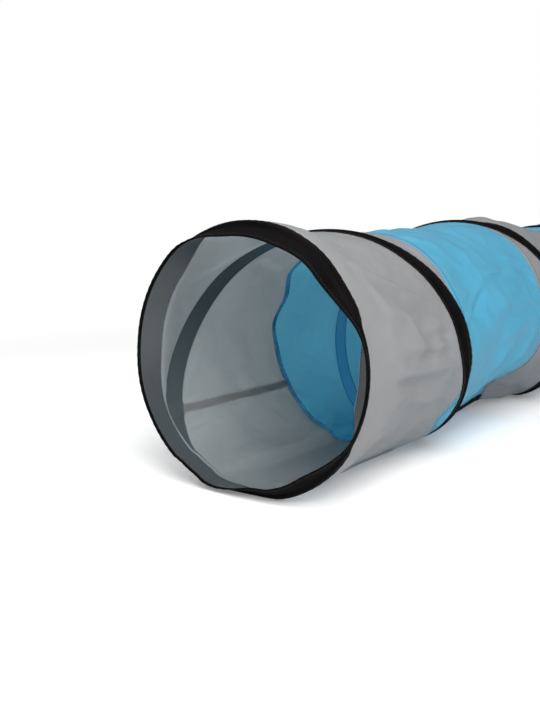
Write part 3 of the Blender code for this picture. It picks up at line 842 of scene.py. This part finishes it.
def woven_tape(name, colour, worn):
    """Woven tape with ribs, and lint in patches."""
    material, tree, output, where = start_material(name)
    ribs = use(tree, rib_group(), Place=metres(tree))
    wear = use(tree, wear_group(), Place=where, Cloud=30.0, Speckle=500.0)
    shader = principled(tree, blend(tree, wear, colour, worn), remap(tree, wear, 0, 1, 0.50, 0.68),
                        ribs, 0.00004, 0.7, Specular_IOR_Level=0.03)
    tree.links.new(shader, output)
    return material


def spun_thread(name, colour):
    """Sewing thread: a twist along its length and a little fuzz."""
    material, tree, output, where = start_material(name)
    twist = add(tree, "ShaderNodeTexWave", Vector=where, Scale=900.0, Distortion=2.0)
    wear = use(tree, wear_group(), Place=where, Cloud=60.0, Speckle=900.0)
    base = blend(tree, wear, colour, times(colour, 1.5, 0.01))
    shader = principled(tree, base, 0.6, twist.outputs[1], 0.00004, 0.5)
    tree.links.new(shader, output)
    return material


def drawn_metal(name, colour, roughness):
    """Drawn or crimped metal: fine lines and dull patches."""
    material, tree, output, where = start_material(name)
    lines = add(tree, "ShaderNodeTexNoise", Vector=where, Scale=420.0, Detail=3.0)
    wear = use(tree, wear_group(), Place=where, Cloud=70.0, Speckle=700.0)
    rough = remap(tree, wear, 0, 1, roughness + 0.15, roughness)
    shader = principled(tree, blend(tree, wear, times(colour, 0.7), colour), rough,
                        lines.outputs[0], 0.00003, 0.4, Metallic=1.0)
    tree.links.new(shader, output)
    return material


# Each finish: what makes it, its colours, and the roughness of a metal
FINISHES = {
    "grey_polyester": (polyester, ("grey", "grey_in_tape_shade", "grey_through", "thread")),
    "blue_polyester": (polyester, ("blue", "blue_in_tape_shade", "blue_through", "thread")),
    "black_tape": (woven_tape, ("tape", "tape_lint")),
    "seam_grey": (woven_tape, ("seam", "thread")),
    "black_thread": (spun_thread, ("tape",)),
    "seam_thread": (spun_thread, ("thread",)),
    "spring_steel": (drawn_metal, ("steel",), 0.28),
    "crimp_aluminium": (drawn_metal, ("sleeve",), 0.38),
}


def finish(label):
    """One of the finishes, made on first use from the user's colours."""
    name = "tunnel_" + label
    if name in bpy.data.materials:
        return bpy.data.materials[name]
    chosen = bpy.context.scene.tunnel_colours
    maker, keys, *rest = FINISHES[label]
    return maker(name, *(tuple(getattr(chosen, key)) + (1,) for key in keys), *rest)


# Pieces

def round_angles():
    """Evenly spaced angles round the tube as a column, and the chart's metres for them and
    their end."""
    angle = np.arange(ROUND + 1) * 2 * np.pi / ROUND
    return angle[:-1, None], angle * TUBE_RADIUS


def shell(name, angle, radius, depth, chart_round, values, material):
    """A thin closed shell: the outer line at each angle, and the same line moved in along its
    own normal by the cloth's thickness."""
    slope_r, slope_d = np.gradient(radius, axis=1), np.gradient(depth, axis=1)
    size = np.hypot(slope_r, slope_d)
    inner = place(angle, radius - CLOTH_THICK * slope_d / size,
                  depth + CLOTH_THICK * slope_r / size)
    points = np.concatenate([place(angle, radius, depth), inner[:, ::-1]], axis=1)
    run = run_along(radius[0], depth[0])
    run = np.concatenate([run, run[::-1], run[:1]])
    both = {key: np.concatenate([value, value[:, ::-1]], axis=1) for key, value in values.items()}
    both["inside"] = np.concatenate([np.zeros_like(radius), np.ones_like(radius)], axis=1)
    return surface(name, points, grid_chart(chart_round, run), True, material, both)


def build_panels(settings):
    """The four panels: a shell of the cloth from seam to seam, and at a mouth a flat strip in
    the hem from its lip to where the cloth leaves it. Its attributes are the depth under a tape,
    which sets the painted shade on the inside, and the distance from a row of stitches."""
    angle, around = round_angles()
    for index, (low, high) in enumerate(zip(SEAMS, SEAMS[1:])):
        at_mouth, rear = index in (0, LAST_PANEL), index == LAST_PANEL
        start = np.full_like(angle, low + PANEL_GAP) if index else mouth_lead(angle, False)[1]
        stop = mouth_lead(angle, True)[1] if rear else np.full_like(angle, high - PANEL_GAP)
        count = settings.rows - (HEM_ROWS if at_mouth else 0)
        depth = start + (stop - start) * np.linspace(0, 1, count)[None, :]
        radius, moved = cloth(index, angle, depth, settings)
        gap = wire_distance(angle, moved)
        lines = [radius, moved, TAPE_HALF - gap, np.abs(gap - STITCH_ROW)]
        if at_mouth:
            hem = Hem(angle, rear)
            share = np.linspace(0, 1, HEM_ROWS)[None, :]
            along = hem.lip + (hem.base + HEM_MARGIN - hem.lip) * share
            strip = [*hem.point(along, -hem.half), np.minimum(hem.base - along, HEM_COVER_MOST),
                     np.minimum(np.abs(along - hem.base + ROW_MARGIN),
                                np.abs(along - hem.lip - LIP_ROW_MARGIN))]
            if rear:
                lines = [np.concatenate([line[:, :-1], part[:, ::-1]], axis=1)
                         for line, part in zip(lines, strip)]
            else:
                lines = [np.concatenate([part, line[:, 1:]], axis=1)
                         for line, part in zip(lines, strip)]
        radius, moved, cover, row = lines
        colour = ("grey", "blue")[index % 2]
        slot = colour + "_polyester"
        piece = shell(f"panel_{index + 1}_cloth", angle, radius, moved, around,
                      {"tape_depth": cover, "row_distance": row}, finish(slot))
        dress(piece, ring_of(index), low, nodes=(f"panel_{index + 1}_{colour}",))


def build_hems():
    """The mouth hems: a tape that lies on the cloth, arched over the wire and rippled at both
    edges by a cosine, bent round the lip in a half circle and turned under at its end."""
    angle, around = round_angles()
    for end, anchor, rear in MOUTHS:
        hem = Hem(angle, rear)
        middle = np.linspace(-1, 1, HEM_MIDDLE_ROWS) * HEM_MIDDLE
        share = np.linspace(0, 1, HEM_SIDE_ROWS)[None, :]
        along = np.concatenate([hem.lip + (middle[0] - hem.lip) * share[:, :-1],
                                np.broadcast_to(middle, (len(angle), len(middle))),
                                middle[-1] + (hem.base - middle[-1]) * share[:, 1:]], axis=1)
        ripple = HEM_RIPPLE * np.cos(angle * HEM_WAVES + wander(angle, 0, HEM_WANDER, rear))
        edge = (ramp((along - hem.base + HEM_EDGE) / HEM_EDGE)
                + ramp((hem.lip + HEM_EDGE - along) / HEM_EDGE))
        inner = hem.tape_face(along) + ripple * edge
        outer = inner + TAPE_THICK
        under = -hem.half - CLOTH_THICK - HEM_UNDER_GAP
        turn = np.linspace(np.pi / 2, 3 * np.pi / 2, HEM_BEND_ROWS)[None, 1:-1]
        centre = (outer[:, :1] + under - TAPE_THICK) / 2
        wide = (outer[:, :1] - under + TAPE_THICK) / 2
        tight = wide - TAPE_THICK
        tuck = hem.lip + HEM_TURN * np.array([HEM_TURN_SHARES])
        back = turn[:, ::-1]
        ring_along = np.concatenate([along[:, ::-1], hem.lip + wide * np.cos(turn), tuck,
                                     tuck[:, ::-1], hem.lip + tight * np.cos(back), along], axis=1)
        ring_out = np.concatenate([outer[:, ::-1], centre + wide * np.sin(turn),
                                   np.broadcast_to(under - TAPE_THICK, tuck.shape),
                                   np.broadcast_to(under, tuck.shape),
                                   centre + tight * np.sin(back), inner], axis=1)
        points = place(angle, *hem.point(ring_along, ring_out))
        chart = grid_chart(around, np.append(run_along(ring_along[0], ring_out[0]), 0))
        piece = surface(end + "_mouth_hem", points, chart, True, finish("black_tape"))
        dress(piece, end + "_mouth", anchor, (end + "_mouth_tape",))


def tube_along(name, path, closed, material):
    """A round bar along a path: circles square to its central differences."""
    ways = np.roll(path, -1, axis=0) - np.roll(path, 1, axis=0) if closed else np.gradient(
        path, axis=0)
    tangent = unit(ways)
    out = square_to(tangent, (path - np.array([0, 0, TUBE_RADIUS])) * np.array([1, 0, 1]))
    side = np.cross(tangent, out)
    turn = np.arange(WIRE_SIDES + 1) * 2 * np.pi / WIRE_SIDES
    ring = (out[:, None, :] * np.cos(turn[:-1])[None, :, None]
            + side[:, None, :] * np.sin(turn[:-1])[None, :, None])
    run = run_along(*path.T)
    chart = grid_chart(np.append(run, run[-1] + WIRE_RADIUS), turn * WIRE_RADIUS)
    return surface(name, path[:, None, :] + WIRE_RADIUS * ring, chart, closed, material)


def build_wires():
    """The two hoops, each a round bar on its hem's seat, and the coil: one bar along the coil's
    depth at every angle, seated under the hems near its ends."""
    steel = finish("spring_steel")
    angle = np.arange(HOOP_ROUND) * 2 * np.pi / HOOP_ROUND
    for end, depth, rear in MOUTHS:
        path = place(angle, Hem(angle, rear).seat, np.full_like(angle, depth))
        piece = tube_along(end + "_hoop", path, True, steel)
        dress(piece, end + "_mouth", depth, (end + "_hoop_wire",))
    unwound = np.arange(COIL_START + COIL_OVERRUN, COIL_START - COIL_SWEEP - COIL_OVERRUN - 1,
                        -WIRE_STEP)
    turn, depth = np.radians(unwound), coil_depth(unwound)
    seat = np.where(depth < TAPE_WIDTH, Hem(turn, False).seat,
                    np.where(depth > LENGTH - TAPE_WIDTH, Hem(turn, True).seat, WIRE_SEAT))
    piece = tube_along("coil_wire", place(turn, seat, depth), False, steel)
    dress(piece, "front_mouth", 0, ("coil_spring_wire",))


def build_ferrules():
    """A crimped sleeve round the hoop and the coil's end: a stadium section, its two half
    circles about the two wires, pinched twice by a bell."""
    for end, anchor, rear in MOUTHS:
        share = np.linspace(-1, 1, SLEEVE_RINGS)
        turn = math.radians(FERRULE_ANGLES[rear]) + FERRULE_LENGTH / 2 / TUBE_RADIUS * share
        coil = coil_depth(np.degrees(turn) - (360 * COIL_END_TURNS if rear else 0))
        reach = np.abs(LENGTH - coil if rear else coil)[:, None]
        section = np.arange(SLEEVE_SIDES) * 2 * np.pi / SLEEVE_SIDES
        pinch = sum(np.exp(-((share + spot) / PINCH_WIDTH) ** 2)
                    for spot in (-PINCH_PLACE, PINCH_PLACE))
        wall = FERRULE_RADIUS * (1 - FERRULE_PINCH * pinch)[:, None]
        along = np.where(np.cos(section) > 0, reach, 0) + wall * np.cos(section)
        points = place(turn[:, None], Hem(turn, rear).seat[:, None] + wall * np.sin(section),
                       LENGTH - along if rear else along)
        chart = grid_chart(np.linspace(0, FERRULE_LENGTH, SLEEVE_RINGS + 1),
                           np.linspace(0, FERRULE_ROUND, SLEEVE_SIDES + 1))
        piece = surface(end + "_sleeve", points, chart, False, finish("crimp_aluminium"))
        dress(piece, end + "_mouth", anchor, (end + "_wire_ferrule",))


def casing_frame():
    """Unwound angles of the casing tape, its depth, and the room it has on either side of the
    wire."""
    unwound = np.arange(COIL_START, COIL_START - COIL_SWEEP, -CASING_STEP)
    turn, depth = np.radians(unwound), coil_depth(unwound)
    front, rear = Hem(turn, False), Hem(turn, True)
    low = depth - front.point(front.base, 0 * turn)[1] - CASING_GAP
    high = rear.point(rear.base, 0 * turn)[1] - depth - CASING_GAP
    kept = np.minimum(low, high) > CASING_LEAST
    room = (np.minimum(side, CASING_HALF)[kept] for side in (low, high))
    return turn[kept], depth[kept], *room


def casing_height(across, ripple):
    """Inner face of the casing tape over the cloth: flat at its sides, arched over the wire."""
    arch = 1 - rise(np.abs(across), CASING_ARCH)
    return CLOTH_SEAT + CASING_LIFT + 2 * CHANNEL * arch + ripple


def build_casing():
    """The casing tape: one strip along the coil, as wide as its room, arched over the wire and
    rippled at both edges by a cosine."""
    turn, depth, low, high = casing_frame()
    half = np.concatenate([np.linspace(0, CASING_MIDDLE, CASING_ARCH_ROWS),
                           np.linspace(CASING_MIDDLE, TAPE_HALF, CASING_SIDE_ROWS)[1:]])
    share = half[None, :] / half[-1]
    across = np.concatenate([-low[:, None] * share[:, ::-1], high[:, None] * share[:, 1:]], axis=1)
    ripple = CASING_RIPPLE * np.cos(turn * CASING_WAVES)[:, None]
    height = casing_height(across, ripple * rise(np.abs(across), CASING_RIPPLE_RISE))
    outer, inner = (place(turn[:, None], height + thick, depth[:, None] + across)
                    for thick in (TAPE_THICK, 0))
    run = np.abs(turn - turn[0]) * TUBE_RADIUS
    side = np.concatenate([-half[::-1], half[1:]])
    chart = grid_chart(run, np.concatenate([side, side[::-1], side[:1]]))
    piece = surface("coil_casing", np.concatenate([outer, inner[:, ::-1]], axis=1), chart, False,
                    finish("black_tape"))
    dress(piece, "front_mouth", 0, nodes=("coil_casing_tape",))


def build_seams(settings):
    """The overlocked edges inside each join: a flat band under the cloth that wanders at its
    free edge, thinner there, and looped by a cosine."""
    angle, around = round_angles()
    share = np.linspace(0, 1, SEAM_ROWS)[None, :]
    for index in range(1, LAST_PANEL + 1):
        radius, moved = cloth(index, angle, SEAMS[index] - SEAM_OVERLAP + SEAM_WIDTH * share,
                              settings)
        moved = moved + wander(angle, 0, JOIN_WANDER, index) * share
        loops = SEAM_LOOPS * np.cos(angle * SEAM_LOOP_WAVES) * rise(share, SEAM_LOOP_RISE)
        thick = SEAM_THICK * (1 - SEAM_TAPER * rise(share, SEAM_TAPER_RISE)) + loops
        top = radius - CLOTH_THICK - SEAM_GAP
        outer, inner = place(angle, top, moved), place(angle, top - thick, moved)
        side = SEAM_WIDTH * np.concatenate([share[0], share[0][::-1], [0]])
        piece = surface(f"panel_join_{index}", np.concatenate([outer, inner[:, ::-1]], axis=1),
                        grid_chart(around, side), True, finish("seam_grey"))
        dress(piece, ring_of(index), SEAMS[index], nodes=(f"panel_seam_{index}",))


def build_bindings(settings):
    """The bound closing seam of each panel: a flat bar along it whose section is a sine and a
    cosine raised to small powers, puckered by a cosine."""
    turn = np.arange(BINDING_SIDES) * 2 * np.pi / BINDING_SIDES
    across, rise_out = (np.sign(wave) * np.abs(wave) ** power * size / 2 for wave, power, size in
                        zip((np.cos(turn), np.sin(turn)), BINDING_SQUARENESS,
                            (BINDING_WIDTH, BINDING_THICK)))
    for index in range(LAST_PANEL + 1):
        low = SEAMS[index] + BINDING_GAP if index else BINDING_FROM_MOUTH
        high = (LENGTH - BINDING_FROM_MOUTH if index == LAST_PANEL
                else SEAMS[index + 1] - BINDING_GAP)
        depth = np.linspace(low, high, BINDING_ROWS)[:, None]
        angle = np.radians(binding_angle(index, depth)) + across[None, :] / TUBE_RADIUS + 0 * depth
        radius, moved = cloth(index, angle, depth, settings)
        pucker = BINDING_PUCKER * np.cos(depth * BINDING_WAVES)
        points = place(angle, radius + BINDING_THICK / 2 + BINDING_LIFT + rise_out + pucker, moved)
        chart = grid_chart(depth[:, 0], np.append(turn, 2 * np.pi) * BINDING_CHART)
        piece = surface(f"closing_binding_{index + 1}", points, chart, False, finish("black_tape"))
        dress(piece, ring_of(index), SEAMS[index],
              nodes=(f"closing_seam_{index + 1}",))


def build_ribbons():
    """Tie ribbons: a strip that hangs from its seam, bowed out by a smooth step, with one edge
    curled by a sine and swayed by another."""
    down = np.linspace(0, 1, RIBBON_ROWS)[:, None]
    across = np.linspace(-1, 1, RIBBON_COLUMNS)[None, :]
    for way, side in ((1, "right"), (-1, "left")):
        for layer, tail in enumerate(("inner", "outer")):
            low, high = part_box(f"tie_ribbon_{side}_{tail}")
            length, width = high.z - low.z, (high.y - low.y) / 2
            inner = min(abs(low.x), abs(high.x)) + RIBBON_GAP
            bow = RIBBON_BOW[layer] * rise(down, RIBBON_BOW_RISE)
            curl = np.sin(2 * np.pi * (RIBBON_CURL_TURNS * down + RIBBON_CURL_OFFSET * layer))
            curl = RIBBON_CURL * curl * rise(down, RIBBON_CURL_RISE)
            face = np.maximum(inner + bow + curl * across * RIBBON_CURL_SHARES[layer], inner)
            sway = RIBBON_SWAY * np.sin(RIBBON_SWAY_WAVE * down + layer)
            y = (high.y + low.y) / 2 + width * across + sway * rise(down, RIBBON_SWAY_RISE) * way
            z = high.z - length * down + 0 * across
            outer, back = (np.stack(np.broadcast_arrays((face + thick) * way, y, z), axis=-1)
                           for thick in (RIBBON_THICK, 0))
            run = np.concatenate([across[0], across[0][::-1], across[0][:1]]) * width
            chart = grid_chart(down[:, 0] * length, run)
            points = np.concatenate([outer, back[:, ::-1]], axis=1)
            piece = surface(f"ribbon_{side}_{tail}", points, chart, False, finish("black_tape"))
            dress(piece, "rear_mouth", nodes=(f"tie_ribbon_{side}_{tail}",))


def sewn_row(turn, radius, depth, outward):
    """Places, directions and outward normals of a row of stitches along a line on the tube."""
    points = place(turn, radius, depth)
    along = unit(np.gradient(points, axis=0))
    out = np.stack([np.cos(turn), 0 * turn, np.sin(turn)], axis=-1) * outward
    return points, along, square_to(along, out)


def build_stitching(settings):
    """Rows of stitches: both edges of the casing tape outside and inside, both edges of each hem
    and one row beside each join."""
    turn, _, low, high = casing_frame()
    pitch = STITCH_PITCH / math.hypot(TUBE_RADIUS, COIL_CLIMB)
    steps = np.arange(turn[-1], turn[0], pitch)[::-1]
    offset = CASING_HALF - ROW_MARGIN
    outside, inside = [], []
    for way, side in ((-1, low), (1, high)):
        kept = steps[np.interp(steps, turn[::-1], side[::-1]) > offset + ROW_END_ROOM]
        line = coil_depth(np.degrees(kept)) + way * offset
        height = casing_height(np.full_like(kept, offset), 0) + TAPE_THICK
        outside.append(sewn_row(kept, height, line, 1))
        inside.append(sewn_row(kept, CLOTH_SEAT - CLOTH_THICK + 0 * kept, line, -1))
    for name, rows in (("casing_stitches", outside), ("casing_stitches_inside", inside)):
        piece = beads(name, rows, TAPE_STITCH, finish("black_thread"))
        dress(piece, "front_mouth", 0)
    count = round(2 * np.pi * TUBE_RADIUS / STITCH_PITCH)
    around = np.arange(count) * 2 * np.pi / count
    for end, anchor, rear in MOUTHS:
        hem = Hem(around, rear)
        rows = []
        for along in (hem.base - ROW_MARGIN, hem.lip + LIP_ROW_MARGIN):
            for out, way in ((hem.tape_face(along) + TAPE_THICK, 1),
                             (-hem.half - CLOTH_THICK, -1)):
                rows.append(sewn_row(around, *hem.point(along, out), way))
        piece = beads(end + "_hem_stitches", rows, TAPE_STITCH, finish("black_thread"))
        dress(piece, end + "_mouth", anchor)
    for index in range(1, LAST_PANEL + 1):
        radius, line = cloth(index, around[:, None], np.full((count, 1), SEAMS[index] + JOIN_ROW),
                             settings)
        piece = beads(f"join_stitches_{index}", [sewn_row(around, radius[:, 0], line[:, 0], 1)],
                      JOIN_STITCH, finish("seam_thread"))
        dress(piece, ring_of(index), SEAMS[index])


# Stage

def build_floor(settings):
    """A pale floor that keeps the shadow but shows white to the camera, wholly so far away."""
    mesh = bpy.data.meshes.new("floor")
    mesh.from_pydata([(x * FLOOR_HALF, y * FLOOR_HALF, 0) for x, y in
                      ((-1, -1), (1, -1), (1, 1), (-1, 1))], [], [(0, 1, 2, 3)])
    floor = bpy.data.objects.new("floor", mesh)
    bpy.context.collection.objects.link(floor)
    floor.location.z = -FLOOR_DROP
    material, tree, output, where = start_material("pale_floor")
    seen = tree.nodes.new("ShaderNodeLightPath").outputs["Is Camera Ray"]
    shade = blend(tree, seen, times((1, 1, 1), FLOOR_SHADE), times((1, 1, 1), FLOOR_SEEN_SHADE))
    matte = add(tree, "ShaderNodeBsdfDiffuse", Color=shade)
    glow = add(tree, "ShaderNodeEmission", Strength=maths(tree, "MULTIPLY", seen,
                                                          settings.floor_lift))
    both = add(tree, "ShaderNodeAddShader", i0=matte.outputs[0], i1=glow.outputs[0])
    white = add(tree, "ShaderNodeEmission", Strength=1.0)
    away = add(tree, "ShaderNodeVectorMath", at_operation="LENGTH", i0=where)
    far = add(tree, "ShaderNodeMapRange", at_interpolation_type="SMOOTHSTEP",
              Value=away.outputs["Value"], From_Min=FLOOR_WHITE_FROM, From_Max=FLOOR_WHITE_TO)
    shown = maths(tree, "MULTIPLY", far.outputs[0], seen)
    mixed = add(tree, "ShaderNodeMixShader", i0=shown, i1=both.outputs[0], i2=white.outputs[0])
    tree.links.new(mixed.outputs[0], output)
    mesh.materials.append(material)


def build_sky(settings):
    """Even light from all round, plain white to the camera."""
    world = bpy.data.worlds.new("studio")
    bpy.context.scene.world = world
    world.use_nodes = True
    tree = world.node_tree
    tree.nodes.clear()
    end = tree.nodes.new("ShaderNodeOutputWorld")
    seen = tree.nodes.new("ShaderNodeLightPath").outputs["Is Camera Ray"]
    strength = add(tree, "ShaderNodeMix", i0=seen, i2=settings.ambient, i3=1.0)
    sky = add(tree, "ShaderNodeBackground", Color=(1, 1, 1, 1), Strength=strength.outputs[0])
    tree.links.new(sky.outputs[0], end.inputs[0])


def set_thing(name, data, spot, rotation):
    """A lamp or camera at its place in the scene."""
    thing = bpy.data.objects.new(name, data)
    bpy.context.collection.objects.link(thing)
    thing.location = spot
    thing.rotation_euler = rotation
    return thing


def build_stage(settings):
    """The floor, the sky, three soft lamps aimed at the tunnel's front half, and the camera at
    the photograph's place."""
    scene = bpy.context.scene
    scene.view_settings.view_transform = "Standard"
    build_floor(settings)
    build_sky(settings)
    for name, spot, size in LAMPS:
        lamp = bpy.data.lights.new(name, "AREA")
        lamp.shape, lamp.size, lamp.energy = "DISK", size, getattr(settings, name + "_power")
        x, y, z = np.array(LAMP_TARGET) - np.array(spot)
        set_thing(name, lamp, spot, (math.atan2(math.hypot(x, y), -z), 0,
                                     math.atan2(x, -y) + math.pi))
    camera = bpy.data.cameras.new("photo_camera")
    camera.sensor_width, camera.lens, camera.clip_start = SENSOR_WIDTH, LENS, CLIP_START
    scene.camera = set_thing("photo_camera", camera, settings.camera_place,
                             (math.radians(90 - settings.camera_pitch), 0,
                              math.radians(settings.camera_turn)))


# Settings, operators and panel

class TunnelColours(bpy.types.PropertyGroup):
    """Colours of the finishes."""
    __annotations__ = {
        key: bpy.props.FloatVectorProperty(name=label, subtype="COLOR", default=value, min=0,
                                           max=1, description="Colour of this finish")
        for key, (label, value) in COLOURS.items()}


class TunnelCloth(bpy.types.PropertyGroup):
    """Sizes of the cloth's relief."""
    sag_share: bpy.props.FloatProperty(
        name="Sag", default=0.024, min=0, max=0.1,
        description="Sag between two turns, over their distance")
    crease_height: bpy.props.FloatProperty(
        name="Creases", default=1.0, min=0, max=3,
        description="Height of all creases, as a factor")
    rows: bpy.props.IntProperty(
        name="Rows", default=112, min=30, max=300,
        description="Rows of points along one panel")


class TunnelStage(bpy.types.PropertyGroup):
    """Camera and light."""
    camera_place: bpy.props.FloatVectorProperty(
        name="Camera place", subtype="TRANSLATION", unit="LENGTH",
        default=(0.4742, -1.0662, 0.2472), description="Where the camera stands")
    camera_turn: bpy.props.FloatProperty(
        name="Camera turn", default=35.62,
        description="Degrees that the camera is turned to the left")
    camera_pitch: bpy.props.FloatProperty(
        name="Camera pitch", default=8.97, description="Degrees that the camera looks down")
    ambient: bpy.props.FloatProperty(
        name="Ambient", default=0.38, min=0,
        description="Strength of the even light from all round")
    floor_lift: bpy.props.FloatProperty(
        name="Floor lift", default=0.15, min=0,
        description="White added to the floor as the camera sees it")
    key_power: bpy.props.FloatProperty(
        name="Key lamp", default=43.0, min=0, unit="POWER",
        description="Power of the high lamp at the front right")
    fill_power: bpy.props.FloatProperty(
        name="Fill lamp", default=15.0, min=0, unit="POWER",
        description="Power of the low lamp in front")
    top_power: bpy.props.FloatProperty(
        name="Top lamp", default=10.0, min=0, unit="POWER",
        description="Power of the lamp above the tunnel")


class TUNNEL_OT_panels(bpy.types.Operator):
    """Makes the four cloth panels"""
    bl_idname = "tunnel.panels"
    bl_label = "Panels"

    def execute(self, context):
        build_panels(context.scene.tunnel_cloth)
        return {"FINISHED"}


class TUNNEL_OT_hems(bpy.types.Operator):
    """Makes the taped hems of both mouths"""
    bl_idname = "tunnel.hems"
    bl_label = "Mouth hems"

    def execute(self, context):
        build_hems()
        return {"FINISHED"}


class TUNNEL_OT_wires(bpy.types.Operator):
    """Makes both hoops and the coil wire"""
    bl_idname = "tunnel.wires"
    bl_label = "Wires"

    def execute(self, context):
        build_wires()
        return {"FINISHED"}


class TUNNEL_OT_sleeves(bpy.types.Operator):
    """Makes the crimp sleeves that join the wires"""
    bl_idname = "tunnel.sleeves"
    bl_label = "Crimp sleeves"

    def execute(self, context):
        build_ferrules()
        return {"FINISHED"}


class TUNNEL_OT_casing(bpy.types.Operator):
    """Makes the casing tape along the coil"""
    bl_idname = "tunnel.casing"
    bl_label = "Casing tape"

    def execute(self, context):
        build_casing()
        return {"FINISHED"}


class TUNNEL_OT_joins(bpy.types.Operator):
    """Makes the overlocked edges inside the joins"""
    bl_idname = "tunnel.joins"
    bl_label = "Panel joins"

    def execute(self, context):
        build_seams(context.scene.tunnel_cloth)
        return {"FINISHED"}


class TUNNEL_OT_bindings(bpy.types.Operator):
    """Makes the bound closing seam of each panel"""
    bl_idname = "tunnel.bindings"
    bl_label = "Closing seams"

    def execute(self, context):
        build_bindings(context.scene.tunnel_cloth)
        return {"FINISHED"}


class TUNNEL_OT_ribbons(bpy.types.Operator):
    """Makes the tie ribbons at the rear mouth"""
    bl_idname = "tunnel.ribbons"
    bl_label = "Tie ribbons"

    def execute(self, context):
        build_ribbons()
        return {"FINISHED"}


class TUNNEL_OT_stitching(bpy.types.Operator):
    """Sews the rows of stitches"""
    bl_idname = "tunnel.stitching"
    bl_label = "Stitching"

    def execute(self, context):
        build_stitching(context.scene.tunnel_cloth)
        return {"FINISHED"}


class TUNNEL_OT_stage(bpy.types.Operator):
    """Sets the floor, the lamps and the camera"""
    bl_idname = "tunnel.stage"
    bl_label = "Stage"

    def execute(self, context):
        build_stage(context.scene.tunnel_stage)
        return {"FINISHED"}


OPERATORS = (TUNNEL_OT_panels, TUNNEL_OT_hems, TUNNEL_OT_wires, TUNNEL_OT_sleeves,
             TUNNEL_OT_casing, TUNNEL_OT_joins, TUNNEL_OT_bindings, TUNNEL_OT_ribbons,
             TUNNEL_OT_stitching, TUNNEL_OT_stage)
SETTINGS = {"tunnel_cloth": TunnelCloth, "tunnel_colours": TunnelColours,
            "tunnel_stage": TunnelStage}


class TUNNEL_PT_sidebar(bpy.types.Panel):
    """Lists the tunnel's settings and its operators"""
    bl_idname = "TUNNEL_PT_sidebar"
    bl_label = "Pop-up tunnel"
    bl_space_type = "VIEW_3D"
    bl_region_type = "UI"
    bl_category = "Tunnel"

    def draw(self, context):
        for name, kind in SETTINGS.items():
            for key in kind.__annotations__:
                self.layout.prop(getattr(context.scene, name), key)
        for operator in OPERATORS:
            self.layout.operator(operator.bl_idname)


CLASSES = (*SETTINGS.values(), *OPERATORS, TUNNEL_PT_sidebar)


def register():
    """Registers the classes and gives the scene its settings."""
    for item in CLASSES:
        bpy.utils.register_class(item)
    for name, kind in SETTINGS.items():
        setattr(bpy.types.Scene, name, bpy.props.PointerProperty(type=kind))


def unregister():
    """Takes away the scene's settings and the classes."""
    for name in SETTINGS:
        delattr(bpy.types.Scene, name)
    for item in reversed(CLASSES):
        bpy.utils.unregister_class(item)


def main():
    """Builds the tunnel and its stage."""
    register()
    for operator in OPERATORS:
        module, name = operator.bl_idname.split(".")
        getattr(getattr(bpy.ops, module), name)()


if __name__ == "__main__":
    main()
